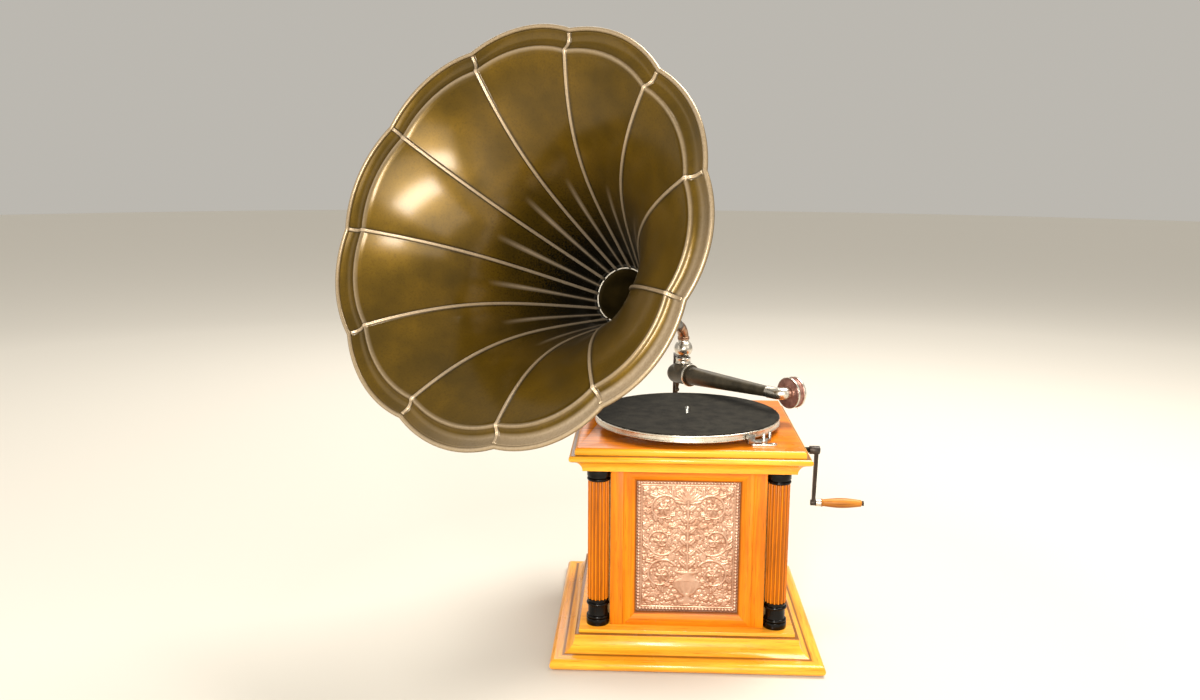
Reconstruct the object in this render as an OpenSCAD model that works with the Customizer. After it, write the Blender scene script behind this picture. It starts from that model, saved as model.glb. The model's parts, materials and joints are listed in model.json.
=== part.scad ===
// Horn gramophone: a square oak case with corner columns, a spring motor inside, a twelve-inch
// turntable, a swinging tone arm with its sound box, and a flared horn of eleven petals.
// Millimetres. X points right, Y back and Z up; the origin is the centre of the plinth's underside.

/* [Case] */
// Width of the case across its flat sides
body_w = 296; // [286:1:310]
// Height of the sides between base board and cornice
body_h = 254; // [245:1:275]
// Thickness of stiles, panel frames and back board
board_t = 14; // [12:0.5:16]
// Width of a panel frame's members
frame_member_w = 20.5; // [18:0.5:24]
// Width of the bevel round each panel
bevel_w = 9; // [6:0.5:11]
// Depth of that bevel
bevel_depth = 6; // [4:0.5:7]
// Width of each stile beside a panel frame
stile_w = 20; // [16:0.5:24]
// Thickness of the panels
panel_t = 4; // [3:0.5:5]
// How far a panel laps behind its frame
panel_lap = 5; // [3:0.5:6]
// Width of the raised border on the copper panel
border_w = 7; // [4:0.5:9]
// Height of that border above the copper sheet
border_h = 1.6; // [1:0.1:2]
// Leg width of the corner posts
post_leg = 20; // [14:0.5:24]

/* [Plinth] */
// Height of the plinth moulding
plinth_h = 45; // [44.5:0.5:52]
// How far the plinth's bead stands out from the case sides
plinth_out = 62; // [56:0.5:70]
// Height of the bead at the foot of the plinth
plinth_bead = 18; // [14:0.5:19]
// How far the step at the plinth's top stands out from the case sides
plinth_step_out = 25.5; // [23:0.5:28]
// Radius of the cove above the bead
plinth_cove_r = 24; // [20:0.5:26]
// How far the base board stands out from the case sides
base_out = 19.5; // [18:0.5:21.5]
// Thickness of the base board
base_t = 12; // [9:0.5:15]
// Rise of the base board above the plinth moulding
base_rise = 6; // [4:0.5:8]
// Width of the ledge that carries the base board
ledge_w = 18; // [12:0.5:22]
// Thickness of the bottom board inside the plinth
bottom_t = 6; // [4:0.5:10]

/* [Cornice and top] */
// Height of the cornice moulding
cornice_h = 28; // [25:0.5:32]
// How far the cornice's foot stands out from the case sides
cornice_foot_out = 15; // [13:0.5:18]
// How far the cornice's bead stands out from the case sides
cornice_out = 34.7; // [32:0.1:38]
// Height of the bead at the cornice's top
cornice_bead = 10; // [8:0.5:12]
// How far the motor board stands out from the case sides
top_out = 26; // [23:0.5:30]
// Thickness of the motor board
top_t = 11; // [9:0.5:14]
// Radius of the motor board's upper edge
top_edge_r = 5; // [3:0.5:7]

/* [Columns] */
// Distance of a column's axis inside the case sides
column_inset = 9; // [8:0.5:11]
// Diameter of a column's fluted shaft
column_d = 33; // [30:0.5:34]
// Diameter of a column's base and capital
column_base_d = 36; // [35:0.5:37]
// Height of a column's base
column_base_h = 42; // [34:0.5:48]
// Height of a column's capital
column_cap_h = 20; // [16:0.5:26]
// Number of flutes
flutes = 16; // [12:1:20]
// Radius of a flute's hollow
flute_r = 2.6; // [2.2:0.1:2.8]
// Depth of a flute
flute_depth = 2; // [1.4:0.1:2.2]
// Gap between a column and the side boards
column_gap = 1; // [0.5:0.1:2]

/* [Turntable] */
// Diameter of the platter
platter_d = 300; // [290:1:304]
// Height of the platter's rim
platter_h = 11.5; // [9:0.5:13]
// Thickness of the platter's web
platter_web = 2.5; // [2:0.25:4]
// Thickness of the platter's rim
platter_wall = 4; // [3:0.25:6]
// Gap between motor board and platter
platter_gap = 9; // [8:0.5:11]
// Thickness of the felt mat
felt_t = 1.5; // [1:0.1:2]
// Distance of the spindle in front of the case's middle
spindle_front = 22; // [18:0.5:24]
// Diameter of the record spindle
spindle_d = 7.2; // [6.8:0.1:7.4]
// Height of the record spindle above the mat
spindle_rise = 10; // [8:0.5:13]

/* [Motor] */
// Module of the spur gears
gear_m = 1.5; // [1.4:0.05:1.55]
// Teeth of the great wheel on the spring barrel
great_teeth = 60; // [56:1:62]
// Teeth of both pinions
pinion_teeth = 12; // [12:1:13]
// Teeth of the intermediate wheel
middle_teeth = 40; // [38:1:42]
// Play between gear teeth
backlash = 0.45; // [0.4:0.05:0.6]
// Teeth of each worm wheel
worm_wheel_teeth = 24; // [24:1:26]
// Number of starts on each worm
worm_starts = 2; // [2:1:2]
// Pitch radius of the worms
worm_r = 7; // [6.5:0.25:7.5]
// Length of the worms
worm_len = 18; // [15:1:20]
// Height of the spring barrel
barrel_h = 30; // [26:0.5:33]
// Radius of the spring barrel
barrel_r = 42; // [40:0.5:42.5]
// Wall of the spring barrel
barrel_wall = 2; // [1.5:0.25:3]
// Turns of the mainspring
spring_turns = 9; // [6:1:11]
// Thickness of the mainspring
spring_t = 0.9; // [0.6:0.1:1.2]
// Thickness of the motor plates
plate_t = 3; // [2.5:0.25:4]
// Height between the motor plates
plate_gap = 92; // [91:0.5:96]
// Gap between the motor's top plate and the motor board
plate_drop = 21; // [19:0.5:23]
// Radius of the arbors
arbor_r = 4; // [3.5:0.25:4.5]
// Radius of the governor's weights
weight_r = 6; // [5:0.25:6.5]
// Radius at which the governor's weights turn
weight_orbit = 16; // [15:0.25:17]
// Radius of the governor's friction disc
disc_r = 17; // [14:0.5:19]

/* [Crank] */
// Radius of the winding shaft
crank_shaft_r = 5; // [4.5:0.25:5.5]
// Distance of the winding shaft behind the case's middle
crank_back = 15; // [13:0.5:17]
// Distance of the winding shaft below the cornice
crank_drop = 9.5; // [9:0.25:11]
// Distance of the crank arm from the case's side
crank_reach = 68; // [64:0.5:76]
// Length of the crank arm between its bosses
crank_arm_len = 96; // [85:1:110]
// Thickness of the crank arm
crank_arm_t = 5.5; // [5:0.5:8]
// Angle at which the crank hangs back from straight down
crank_rest = 7; // [0:1:15]
// Length of the wooden grip
grip_len = 78; // [65:1:90]
// Largest diameter of the grip
grip_d = 17; // [15:0.5:20]
// Diameter of the grip's spindle
grip_pin_d = 6; // [5:0.25:7]

/* [Tone arm] */
// Distance of the arm's pivot behind the case's middle
pivot_back = 190; // [189:0.5:196]
// Height of the bracket's sleeve above the motor board
sleeve_rise = 62; // [60:0.5:66]
// Height of that sleeve
sleeve_h = 12; // [10:0.5:14]
// Outer radius of that sleeve
sleeve_r = 13; // [12:0.25:14]
// Radius of the arm's stub and the horn's spigot
stub_r = 9; // [8.5:0.25:9.5]
// Outer radius of the arm's elbow
elbow_r = 17; // [16:0.25:17.5]
// Radius of the arm's bend
elbow_bend = 18.4; // [18.2:0.2:19.2]
// Distance of that rear end's centre behind the pivot
rear_back = 17; // [14:0.5:18]
// Length of the finial under the rear end
finial_len = 17; // [12:0.5:18]
// Distance of the bracket's foot and leg to the left of the pivot
bracket_left = 12; // [10:0.5:13]
// Angle of the arm to the case's front-back line
arm_angle = 36.7; // [36:0.1:38]
// Upward slope of the arm
arm_rise = 2.2; // [2:0.1:2.6]
// Length of the tapered tube
tube_len = 205; // [200:0.5:206]
// Outer radius of the tapered tube's far end
tube_end_r = 8; // [7.5:0.25:8.5]
// Wall of the arm's tubes
tube_wall = 1.5; // [1.25:0.25:2]
// Distance from the tapered tube's end to the sound box axis
box_reach = 30; // [28:0.5:31]

/* [Sound box] */
// Diameter of the sound box
box_d = 52; // [48:0.5:53]
// Thickness of the sound box
box_t = 18; // [16:0.25:20]
// Width of each flange round the sound box
rim_flange_w = 5; // [4:0.25:6]
// Depth of the groove between those flanges
rim_groove = 1.4; // [1:0.1:1.8]
// Distance of the sound box's back from the arm's axis
box_offset = 16; // [15.5:0.25:18]
// Wall of the sound box's rim
rim_wall = 3; // [2.5:0.25:3.5]
// Diameter of the needle
needle_d = 1.6; // [1.2:0.1:2]
// Slope of the needle to the record
needle_slope = 60; // [55:1:65]
// Gap between the needle's point and the mat
needle_gap = 1.2; // [0.8:0.1:1.6]

/* [Horn] */
// Number of petals
petals = 11; // [9:1:12]
// Radius of the horn's mouth at the seams
mouth_r = 290; // [260:1:300]
// Radius of the raised ring inside the lip
ring_r = 265; // [240:1:272]
// How far each petal bulges past the seams at the mouth
petal_bulge = 9; // [5:0.5:12]
// Depth of the lip's hollow
lip_depth = 5; // [3:0.5:8]
// Radius of the horn's throat
throat_r = 46; // [40:0.5:50]
// Length of the flared petals
flare_len = 335; // [300:1:350]
// Share of the flare that widens evenly
flare_even = 0.6; // [0.5:0.02:0.7]
// Power of the flare's curl towards the mouth
flare_power = 4.6; // [4:0.1:5.2]
// Thickness of the sheet
sheet_t = 1.2; // [1:0.1:1.6]
// Width of the seam beads
seam_w = 5.5; // [4.5:0.25:7]
// Height of the seam beads
seam_h = 2.6; // [2:0.2:3.4]
// Radius of the rolled edge
rim_bead_r = 3.4; // [2.6:0.2:4]
// Distance of the mouth from the bend's corner
horn_len = 573; // [550:1:590]
// Turn of the horn to the left of straight ahead
horn_azimuth = 29; // [20:1:35]
// Upward slope of the horn
horn_slope = 20.9; // [19:0.5:24]
// Height of the bend's corner above the sleeve
horn_rise = 52.5; // [50:0.5:56]
// Radius of the horn's bend
horn_bend = 30; // [28:0.5:32]
// Outer radius of the horn's elbow
neck_r = 9.5; // [9:0.25:10.5]
// Radius of the swivel ball
ball_r = 16.5; // [15.5:0.25:17]

/* [Brake and regulator] */
// Direction of the brake from the spindle
brake_angle = -46.5; // [-49:0.5:-44]
// Length of the brake's lever
brake_len = 20; // [18:0.5:22]
// Distance of the brake's pivot from the platter's rim
brake_out = 13; // [12:0.5:14]
// Radius of the regulator's knob
knob_r = 9; // [7:0.5:10]
// Height of the regulator's knob
knob_h = 8; // [6:0.5:10]
// Distance of the knob's axis inside the case sides
knob_inset = 26; // [25:0.5:30]

/* [Clearances] */
// Gap round a shaft in its hole
shaft_gap = 0.05; // [0.02:0.01:0.08]
// Slit along the seam between two petals
seam_gap = 0.1; // [0.05:0.05:0.3]
// Gap between pieces that move past each other
run_gap = 0.4; // [0.3:0.05:0.6]

/* [Hidden] */
$fn = 64;
// A small overshoot that lets cutters pass right through a face
cut = 1;

// Levels
floor_z = plinth_h + base_rise;
eaves_z = floor_z + body_h;
board_z = eaves_z + cornice_h;
top_z = board_z + top_t;
platter_z = top_z + platter_gap;
mat_z = platter_z + platter_h;
felt_top = mat_z + felt_t;

// Case plan
half = body_w / 2;
column_at = half - column_inset;
side_half = column_at - column_base_d / 2 - column_gap;
inner = half - board_t;
frame_half = side_half - stile_w;
opening_half = frame_half - frame_member_w;
post_in = side_half - post_leg;

// Spindle and platter
spindle_at = [0, -spindle_front];
platter_r = platter_d / 2;
platter_hub_r = 14;
hub_lift = 1;
felt_r = platter_r - 1.5;
spindle_hole_r = 12;

// Crank
crank_z = eaves_z - crank_drop;
crank_x = half + crank_reach;
bush_r = crank_shaft_r + 3;
escutcheon_t = 2.5;
escutcheon_bevel = 1.5;
boss_wall = 2;
boss_in = 9;
boss_out = 2;
pin_boss_in = 2;
pin_boss_out = 1;
pin_head_t = 2;
pin_head_out = 1.5;
grip_x = crank_x + crank_arm_t + pin_boss_out + run_gap;
ferrule_len = 9;
ferrule_step = 2;
grip_swell = 3;

// Motor levels, from the top plate down
plate_top_z = board_z - plate_drop;
plate_low_z = plate_top_z - plate_t - plate_gap;
train_z = crank_z - worm_r - 11;
barrel_z = plate_low_z + 17;
governor_z = barrel_z + 17;

// Gear train plan
worm_lead = worm_starts * PI * gear_m;
worm_wheel_r = worm_wheel_teeth * gear_m / 2;
worm_centre = worm_wheel_r + worm_r;
worm_angle = atan(worm_lead / (2 * PI * worm_r));
great_r = great_teeth * gear_m / 2;
pinion_r = pinion_teeth * gear_m / 2;
middle_r = middle_teeth * gear_m / 2;
arbor_at = [25, crank_back + worm_centre];
governor_y = spindle_at.y - worm_centre;
middle_at = meeting(spindle_at, pinion_r + middle_r, arbor_at, pinion_r + great_r);
to_middle = bearing(spindle_at, middle_at);
to_barrel = bearing(middle_at, arbor_at);
gear_h = 4;
pinion_h = 9;
worm_wheel_h = 9;
winding_end = arbor_at.x - worm_len / 2 - 12;

// Motor plate outline
plate_x = [-56, 84];
plate_y = [governor_y - 34, arbor_at.y + great_r + 8];
pillar_r = 4;
pillar_inset = 8;
cover_t = 2;

// Governor stations along its shaft, measured from the spindle
gov_collar = -16;
gov_sleeve = -52;
gov_ends = [-72, 24];
collar_r = 7;
collar_len = 6;
disc_t = 2.5;
gov_shaft_r = 2.5;
gov_end_out = 4;
leaf_t = 0.6;
leaf_w = 4;

// Arm and horn pivot
pivot_at = [0, pivot_back];
sleeve_z = top_z + sleeve_rise;
bend_corner_z = sleeve_z + sleeve_h + horn_rise;
stub_bore = stub_r - 2;
arm_bend_z = sleeve_z - run_gap;
arm_start = [elbow_bend * (1 + sin(arm_rise)), 0, arm_bend_z - elbow_bend * cos(arm_rise)];
rear_r = elbow_r + 1;
rear_x = -arm_start.x - rear_back;
finial_r = 4;
finial_waist = 2.6;
spigot_len = 12;
flange_t = 5;
flange_out = 2.5;
root_r = elbow_r - 0.5;
end_bend = 13;
end_r = 10;
socket_r = tube_end_r + shaft_gap;
arm_reach = tube_len + box_reach;
box_z = arm_start.z + arm_reach * sin(arm_rise);

// Sound box depths along its axis, from the back
gasket_t = 2.4;
mica_t = 0.4;
lip_t = 2.1;
lip_r = box_d / 2 - rim_wall - 3;
back_t = box_t - 2 * gasket_t - mica_t - lip_t;
mica_y = box_offset + back_t + gasket_t;
box_front = box_offset + box_t;
bar_y = box_front + 1.5;
bar_t = 2.5;
socket_d = 6.4;
needle_y = bar_y + bar_t / 2;
needle_tip = -(box_z - felt_top - needle_gap);
socket_end = -box_d / 2 + 1;
socket_len = 11;
needle_x = 2;
needle_screw_r = 1.2;
needle_len = (socket_end - needle_tip) / sin(needle_slope);
needle_sink = 2;
needle_taper = 4;
needle_point_r = 0.15;
bar_pin_r = 1;
thumb_head_r = 3.5;
thumb_head_h = 4;

// Horn
bend_tangent = horn_bend * tan((90 - horn_slope) / 2);
throat_at = horn_len - flare_len;
seam_turn = 83.5;
petal_half = 180 / petals;
lip_rise = 2;
crease_h = 1.2;
crease_share = 0.5;
rows = 16;
flare_rows = 13;
across = 6;
columns = 4 + across;
rim_steps = 12;
rim_sides = 8;
ball_z = bend_corner_z - bend_tangent - ball_r + 0.5;
neck_bead = 1.4;
neck_bead_at = [1.8, 4.9];

// Brake and regulator
brake_pivot = spindle_at + (platter_r + brake_out) * [cos(brake_angle), sin(brake_angle)];
pad_angle = brake_angle - asin(brake_len / (platter_r + brake_out));
pad_t = 7;
pad_h = 8;
pad_centre = spindle_at + (platter_r + run_gap + pad_t / 2) * [cos(pad_angle), sin(pad_angle)];
pad_w = 12;
brake_plate_t = 2.5;
brake_plate_half = 15;
brake_plate_r = 6;
brake_boss_h = 2;
brake_boss_r = 5;
brake_pin_r = 2.5;
brake_pin_h = platter_gap + platter_h - 2;
brake_hub_r = 6;
brake_arm_w = 7;
thumb_out = 14;
thumb_arm_w = 5;
thumb_h = 14;
brake_lever_z = top_z + brake_plate_t + brake_boss_h + run_gap;
brake_lever_t = 4;
knob_at = [knob_inset - half, half - knob_inset];
knob_shaft_r = 3;
cam_r = 6;
cam_throw = 2;
heel_r = 4;
heel_gap = 1;
lever_z = board_z - plate_drop / 2 - 2;
lever_t = 3;
finger_x = gov_sleeve - collar_len - disc_t - run_gap;
lever_pivot = [-96, 20];
lever_pin_r = 3;
lever_hub_r = 7;
finger_t = 6;

// Screws
screw_r = 4;
screw_h = 2.4;
slot_w = 1.2;
slot_depth = 1;
small_screw = 0.7;

// Bracket
foot_h = 110;
foot_w = 44;
foot_t = 6;
foot_screw_in = 7;
leg_w = 9;
leg_back = 46;
leg_low = 15;
leg_high = 45;
knee_drop = 20;
knee_rise = 4;

// Where two circles cross, on the left of the line from the first centre to the second
function meeting(a, ra, b, rb) =
    let(d = norm(b - a), k = (ra * ra - rb * rb + d * d) / (2 * d), h = sqrt(ra * ra - k * k),
        u = (b - a) / d)
    a + k * u + h * [-u.y, u.x];

// Direction from one point to another
function bearing(a, b) = atan2(b.y - a.y, b.x - a.x);

// Involute angle at the given pressure angle
function involute(p) = tan(p) * 180 / PI - p;

// Half the angle of a spur tooth at radius r
function tooth_half(n, r) =
    let(pitch = n * gear_m / 2, base = pitch * cos(20), q = max(r, base))
    90 / n - backlash / 2 / pitch * 180 / PI + involute(20) - involute(acos(base / q));

// Outline of a gear with a tooth centred on the X axis, its flanks in the given number of steps
function gear_outline(n, steps = 3) =
    let(pitch = n * gear_m / 2, root = pitch - 1.2 * gear_m, tip = pitch + 0.85 * gear_m)
    [for (i = [0:n - 1], side = [-1, 1], k = [0:steps])
        let(share = (side < 0 ? k : steps - k) / steps, r = root + (tip - root) * share,
            a = i * 360 / n + side * tooth_half(n, r))
        r * [cos(a), sin(a)]];

// Cross-section of a worm: its thread is crest, flank, root, flank along each pitch
function worm_radius(turn) =
    let(pitch = PI * gear_m, along = abs((turn % 360 + 360) % 360 - 180) / 360 * pitch,
        from_crest = pitch / 2 - along, crest = pitch / 4 - backlash / 2 - gear_m * tan(20) * 0.85)
    max(worm_r - 1.15 * gear_m,
        min(worm_r + 0.85 * gear_m, worm_r + 0.85 * gear_m - (from_crest - crest) / tan(20)));

// One driving worm about X with a thread facing +Y at the middle of its length
module worm() {
    twist = 360 * worm_len / worm_lead;
    rotate([0, 90, 0]) rotate([0, 0, -twist / 2])
        linear_extrude(worm_len, center = true, twist = -twist, slices = ceil(twist / 30), $fn = 20)
            polygon([for (a = [0:18:342]) worm_radius((a - 90) * worm_starts) * [cos(a), sin(a)]]);
}

// Worm wheel about Z with a gap facing -Y
module worm_wheel(bore) {
    twist = worm_wheel_h * tan(worm_angle) / worm_wheel_r * 180 / PI;
    difference() {
        rotate([0, 0, -90 + 180 / worm_wheel_teeth - twist / 2])
            linear_extrude(worm_wheel_h, center = true, twist = -twist, slices = 2)
                polygon(gear_outline(worm_wheel_teeth, 2));
        cylinder(h = worm_wheel_h + cut, r = bore, center = true);
    }
}

// Four mitred lengths round a square, from a section of outward distance and height
module mitred_square(reach) {
    for (i = [0:3]) rotate([0, 0, 90 * i]) intersection() {
        rotate([90, 0, 90]) linear_extrude(2 * reach, center = true) children();
        translate([0, 0, -cut]) linear_extrude(top_z)
            polygon([[0, 0], [reach, reach], [-reach, reach]]);
    }
}

// The sides of the case that carry framed panels: front, right and left
module on_side(turn) rotate([0, 0, turn]) translate([0, -half, 0]) children();

// A board standing on the base board, its face on the plane Y = 0
module upright(x0, x1, t = board_t) translate([x0, 0, floor_z]) cube([x1 - x0, t, body_h]);

// Section of a framed opening: bevelled at the face, then straight to the back
module opening_section(reach) {
    mouth = reach + bevel_w * (1 + cut / bevel_depth);
    polygon([[-mouth, -cut], [mouth, -cut], [reach, bevel_depth], [reach, board_t + cut],
        [-reach, board_t + cut], [-reach, bevel_depth]]);
}

// A frame round one bevelled opening, with a rebate behind it for the panel
module panel_frame() {
    rise = body_h / 2 - frame_member_w;
    translate([0, 0, floor_z + body_h / 2]) difference() {
        translate([-frame_half, 0, -body_h / 2]) cube([2 * frame_half, board_t, body_h]);
        intersection() {
            linear_extrude(body_h, center = true) opening_section(opening_half);
            rotate([0, -90, 0]) linear_extrude(2 * frame_half, center = true) opening_section(rise);
        }
        translate([-opening_half - panel_lap, board_t - panel_t, -rise - panel_lap])
            cube([2 * (opening_half + panel_lap), panel_t + cut, 2 * (rise + panel_lap)]);
    }
}

// A panel that fills a frame's rebate
module panel_sheet() {
    w = 2 * (opening_half + panel_lap);
    h = body_h - 2 * (frame_member_w - panel_lap);
    translate([-w / 2, board_t - panel_t, floor_z + frame_member_w - panel_lap]) cube([w, panel_t, h]);
}

// The hole for the winding shaft through the right side
module crank_hole(r) translate([half - board_t - cut, crank_back, crank_z]) rotate([0, 90, 0])
    cylinder(h = board_t + 2 * cut, r = r);

// The four column places
module at_columns() for (x = [-1, 1], y = [-1, 1]) translate([x * column_at, y * column_at, 0]) children();

module plinth_moulding() color("goldenrod") {
    bead = plinth_bead / 2;
    edge = half + plinth_out - bead;
    step = half + plinth_step_out;
    ledge = half + base_out;
    mitred_square(edge + bead + cut) difference() {
        union() {
            translate([ledge - ledge_w, 0]) square([step - ledge + ledge_w, plinth_h]);
            translate([ledge - ledge_w, 0]) square([edge - ledge + ledge_w, plinth_bead]);
            translate([edge, bead]) circle(bead);
            translate([step, plinth_bead]) square(plinth_cove_r);
        }
        translate([step + plinth_cove_r, plinth_bead + plinth_cove_r]) circle(plinth_cove_r);
        translate([ledge - ledge_w - cut, floor_z - base_t]) square([ledge_w + cut, base_t]);
    }
}

module base_board() color("goldenrod") {
    w = 2 * (half + base_out);
    translate([-w / 2, -w / 2, floor_z - base_t]) cube([w, w, base_t]);
}

// Closes the plinth flush with its underside
module bottom_board() color("peru") {
    w = 2 * (half + base_out - ledge_w);
    translate([-w / 2, -w / 2, 0]) cube([w, w, bottom_t]);
}

module stiles() color("goldenrod") for (turn = [0, 90, -90]) on_side(turn) {
    upright(-side_half, -frame_half);
    upright(frame_half, side_half);
}

module front_panel_frame() color("orange") on_side(0) panel_frame();

module copper_panel() color("rosybrown") on_side(0) {
    panel_sheet();
    h = body_h - 2 * frame_member_w;
    translate([0, board_t - panel_t, floor_z + frame_member_w]) rotate([90, 0, 0]) linear_extrude(border_h)
        difference() {
            translate([-opening_half, 0]) square([2 * opening_half, h]);
            translate([border_w - opening_half, border_w])
                square([2 * (opening_half - border_w), h - 2 * border_w]);
        }
}

module side_panel_frames() color("orange") difference() {
    for (turn = [90, -90]) on_side(turn) panel_frame();
    crank_hole(bush_r);
}

module side_panels() color("peru") difference() {
    for (turn = [90, -90]) on_side(turn) panel_sheet();
    crank_hole(bush_r);
}

module back_board() color("goldenrod") on_side(180) upright(-side_half, side_half);

module corner_posts() color("peru") for (i = [0:3]) rotate([0, 0, 90 * i])
    translate([0, 0, floor_z]) linear_extrude(body_h)
        polygon([[post_in, post_in], [inner, post_in], [inner, side_half], [side_half, side_half],
            [side_half, inner], [post_in, inner]]);

module column_shafts() color("goldenrod") at_columns()
    translate([0, 0, floor_z + column_base_h]) linear_extrude(body_h - column_base_h - column_cap_h)
        difference() {
            circle(d = column_d);
            for (i = [0:flutes - 1]) rotate(i * 360 / flutes)
                translate([column_d / 2 + flute_r - flute_depth, 0]) circle(flute_r, $fn = 32);
        }

// A turned base: a round foot, a bead, a straight drum and a necking bead
module column_bases() color("#151312") at_columns() translate([0, 0, floor_z]) rotate_extrude() {
    r = column_base_d / 2;
    bead = column_base_h / 16;
    square([r, column_base_h / 4]);
    square([r - bead, column_base_h]);
    translate([r - bead, column_base_h / 4 + bead]) circle(bead, $fn = 32);
    translate([r - bead, column_base_h - 3 * bead]) circle(bead, $fn = 32);
    translate([0, column_base_h - bead]) square([r - bead / 2, bead]);
}

// A turned capital: a necking bead under a round-edged drum
module column_capitals() color("#151312") at_columns() translate([0, 0, eaves_z - column_cap_h])
    rotate_extrude() {
        r = column_base_d / 2;
        bead = column_cap_h / 8;
        square([r - bead, column_cap_h]);
        translate([r - bead, bead]) circle(bead, $fn = 32);
        translate([0, 3 * bead]) square([r, column_cap_h - 3 * bead]);
    }

module cornice_moulding() color("goldenrod") {
    bead = cornice_bead / 2;
    foot = half + cornice_foot_out;
    out = half + cornice_out;
    cove_r = cornice_h - cornice_bead;
    mitred_square(out + cut) translate([0, eaves_z]) difference() {
        union() {
            translate([inner, 0]) square([foot - inner, cornice_h]);
            translate([inner, cove_r]) square([out - bead - inner, cornice_bead]);
            translate([out - bead, cove_r + bead]) circle(bead, $fn = 48);
            translate([foot, 0]) square([out - bead - foot, cove_r]);
        }
        translate([foot + cove_r, 0]) circle(cove_r);
    }
}

module motor_board() color("goldenrod") {
    w = half + top_out;
    difference() {
        translate([-w, -w, board_z]) cube([2 * w, 2 * w, top_t]);
        for (i = [0:3]) rotate([0, 0, 90 * i]) translate([0, w - top_edge_r, top_z - top_edge_r])
            rotate([90, 0, 90]) linear_extrude(2 * w + cut, center = true) difference() {
                square(top_edge_r + cut);
                circle(top_edge_r);
            }
        translate([spindle_at.x, spindle_at.y, board_z - cut])
            cylinder(h = top_t + 2 * cut, r = spindle_hole_r);
        translate([knob_at.x, knob_at.y, board_z - cut])
            cylinder(h = top_t + 2 * cut, r = knob_shaft_r + shaft_gap);
    }
}

// A round-headed, slotted screw whose head's underside lies on the plane Z = 0
module screw_head() difference() {
    intersection() {
        translate([0, 0, screw_h - screw_r * 1.6]) sphere(screw_r * 1.6);
        cylinder(h = screw_h, r = screw_r);
    }
    translate([-screw_r - cut, -slot_w / 2, screw_h - slot_depth])
        cube([2 * (screw_r + cut), slot_w, slot_depth + cut]);
}

module at_pillars() for (x = [plate_x[0] + pillar_inset, plate_x[1] - pillar_inset],
    y = [plate_y[0] + pillar_inset, plate_y[1] - pillar_inset]) translate([x, y, 0]) children();

module brake_frame() translate([brake_pivot.x, brake_pivot.y, top_z]) children();

module wood_screws() color("silver") {
    at_pillars() translate([0, 0, top_z]) screw_head();
    for (x = [-1, 1], z = [0.3, 0.85])
        translate([x * (foot_w / 2 - foot_screw_in) - bracket_left, half + foot_t, eaves_z - foot_h * z])
            rotate([-90, 0, 0]) screw_head();
    brake_frame() for (x = [-1, 1]) translate([x * brake_plate_half, 0, brake_plate_t])
        scale(small_screw) screw_head();
    translate([lever_pivot.x, lever_pivot.y, lever_z - run_gap]) {
        cylinder(h = board_z - lever_z + run_gap, r = lever_pin_r);
        mirror([0, 0, 1]) screw_head();
    }
}

module crank_escutcheon() color("silver") difference() {
    translate([half - board_t, crank_back, crank_z]) rotate([0, 90, 0]) {
        cylinder(h = board_t, r = bush_r);
        translate([0, 0, board_t])
            cylinder(h = escutcheon_t, r1 = crank_drop, r2 = crank_drop - escutcheon_bevel);
    }
    translate([half - board_t - cut, crank_back, crank_z]) rotate([0, 90, 0])
        cylinder(h = board_t + 4 * cut, r = crank_shaft_r + shaft_gap);
}

// Cast bracket: a foot plate on the case's back, a leg that clears the cornice and a sleeve on top
module back_bracket() color("#2b2a28") difference() {
    foot_z = eaves_z - foot_h;
    leg_y = pivot_back + leg_back;
    knee_z = eaves_z - foot_h / 2;
    leg_in = pivot_back + sleeve_r / 4;
    union() {
        translate([-bracket_left - foot_w / 2, half, foot_z]) cube([foot_w, foot_t, foot_h - cut]);
        translate([-bracket_left - leg_w / 2, 0, 0]) rotate([90, 0, 90]) linear_extrude(leg_w)
            polygon([[half + foot_t, foot_z + leg_low], [leg_y - leg_w, knee_z - knee_drop],
                [leg_y, knee_z], [leg_y, sleeve_z + sleeve_h], [leg_in, sleeve_z + sleeve_h],
                [leg_in, sleeve_z], [leg_y - leg_w, sleeve_z], [leg_y - leg_w, knee_z + knee_rise],
                [half + foot_t, foot_z + leg_high]]);
        translate([pivot_at.x, pivot_at.y, sleeve_z]) cylinder(h = sleeve_h, r = sleeve_r);
    }
    translate([pivot_at.x, pivot_at.y, sleeve_z - cut])
        cylinder(h = sleeve_h + 2 * cut, r = stub_r + shaft_gap);
}

module brake_plate() color("silver") brake_frame() {
    translate([-brake_plate_half, -brake_plate_r, 0])
        cube([2 * brake_plate_half, 2 * brake_plate_r, brake_plate_t]);
    for (x = [-1, 1]) translate([x * brake_plate_half, 0, 0]) cylinder(h = brake_plate_t, r = brake_plate_r);
    cylinder(h = brake_plate_t + brake_boss_h, r = brake_boss_r);
    cylinder(h = brake_pin_h, r = brake_pin_r);
}

module plate_body(z) translate([plate_x[0], plate_y[0], z])
    cube([plate_x[1] - plate_x[0], plate_y[1] - plate_y[0], plate_t]);

module arbor_hole(at, r) translate([at.x, at.y, 0]) cylinder(h = top_z, r = r + shaft_gap);

module motor_top_plate() color("dimgray") difference() {
    plate_body(plate_top_z - plate_t);
    arbor_hole(spindle_at, arbor_r);
    for (at = [middle_at, arbor_at]) arbor_hole(at, arbor_r / 2);
}

// The bottom plate has a tongue under the governor's far end
module motor_bottom_plate() color("dimgray") difference() {
    union() {
        plate_body(plate_low_z - plate_t);
        translate([gov_ends[0] - 8, governor_y - 12, plate_low_z - plate_t])
            cube([plate_x[0] - gov_ends[0] + 9, 24, plate_t]);
    }
    for (at = [spindle_at, middle_at, arbor_at]) arbor_hole(at, arbor_r / 2);
}

module motor_pillars() color("gray") at_pillars() {
    translate([0, 0, plate_low_z]) cylinder(h = plate_gap, r = pillar_r);
    translate([0, 0, plate_top_z]) cylinder(h = plate_drop, r = pillar_r);
}

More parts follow.
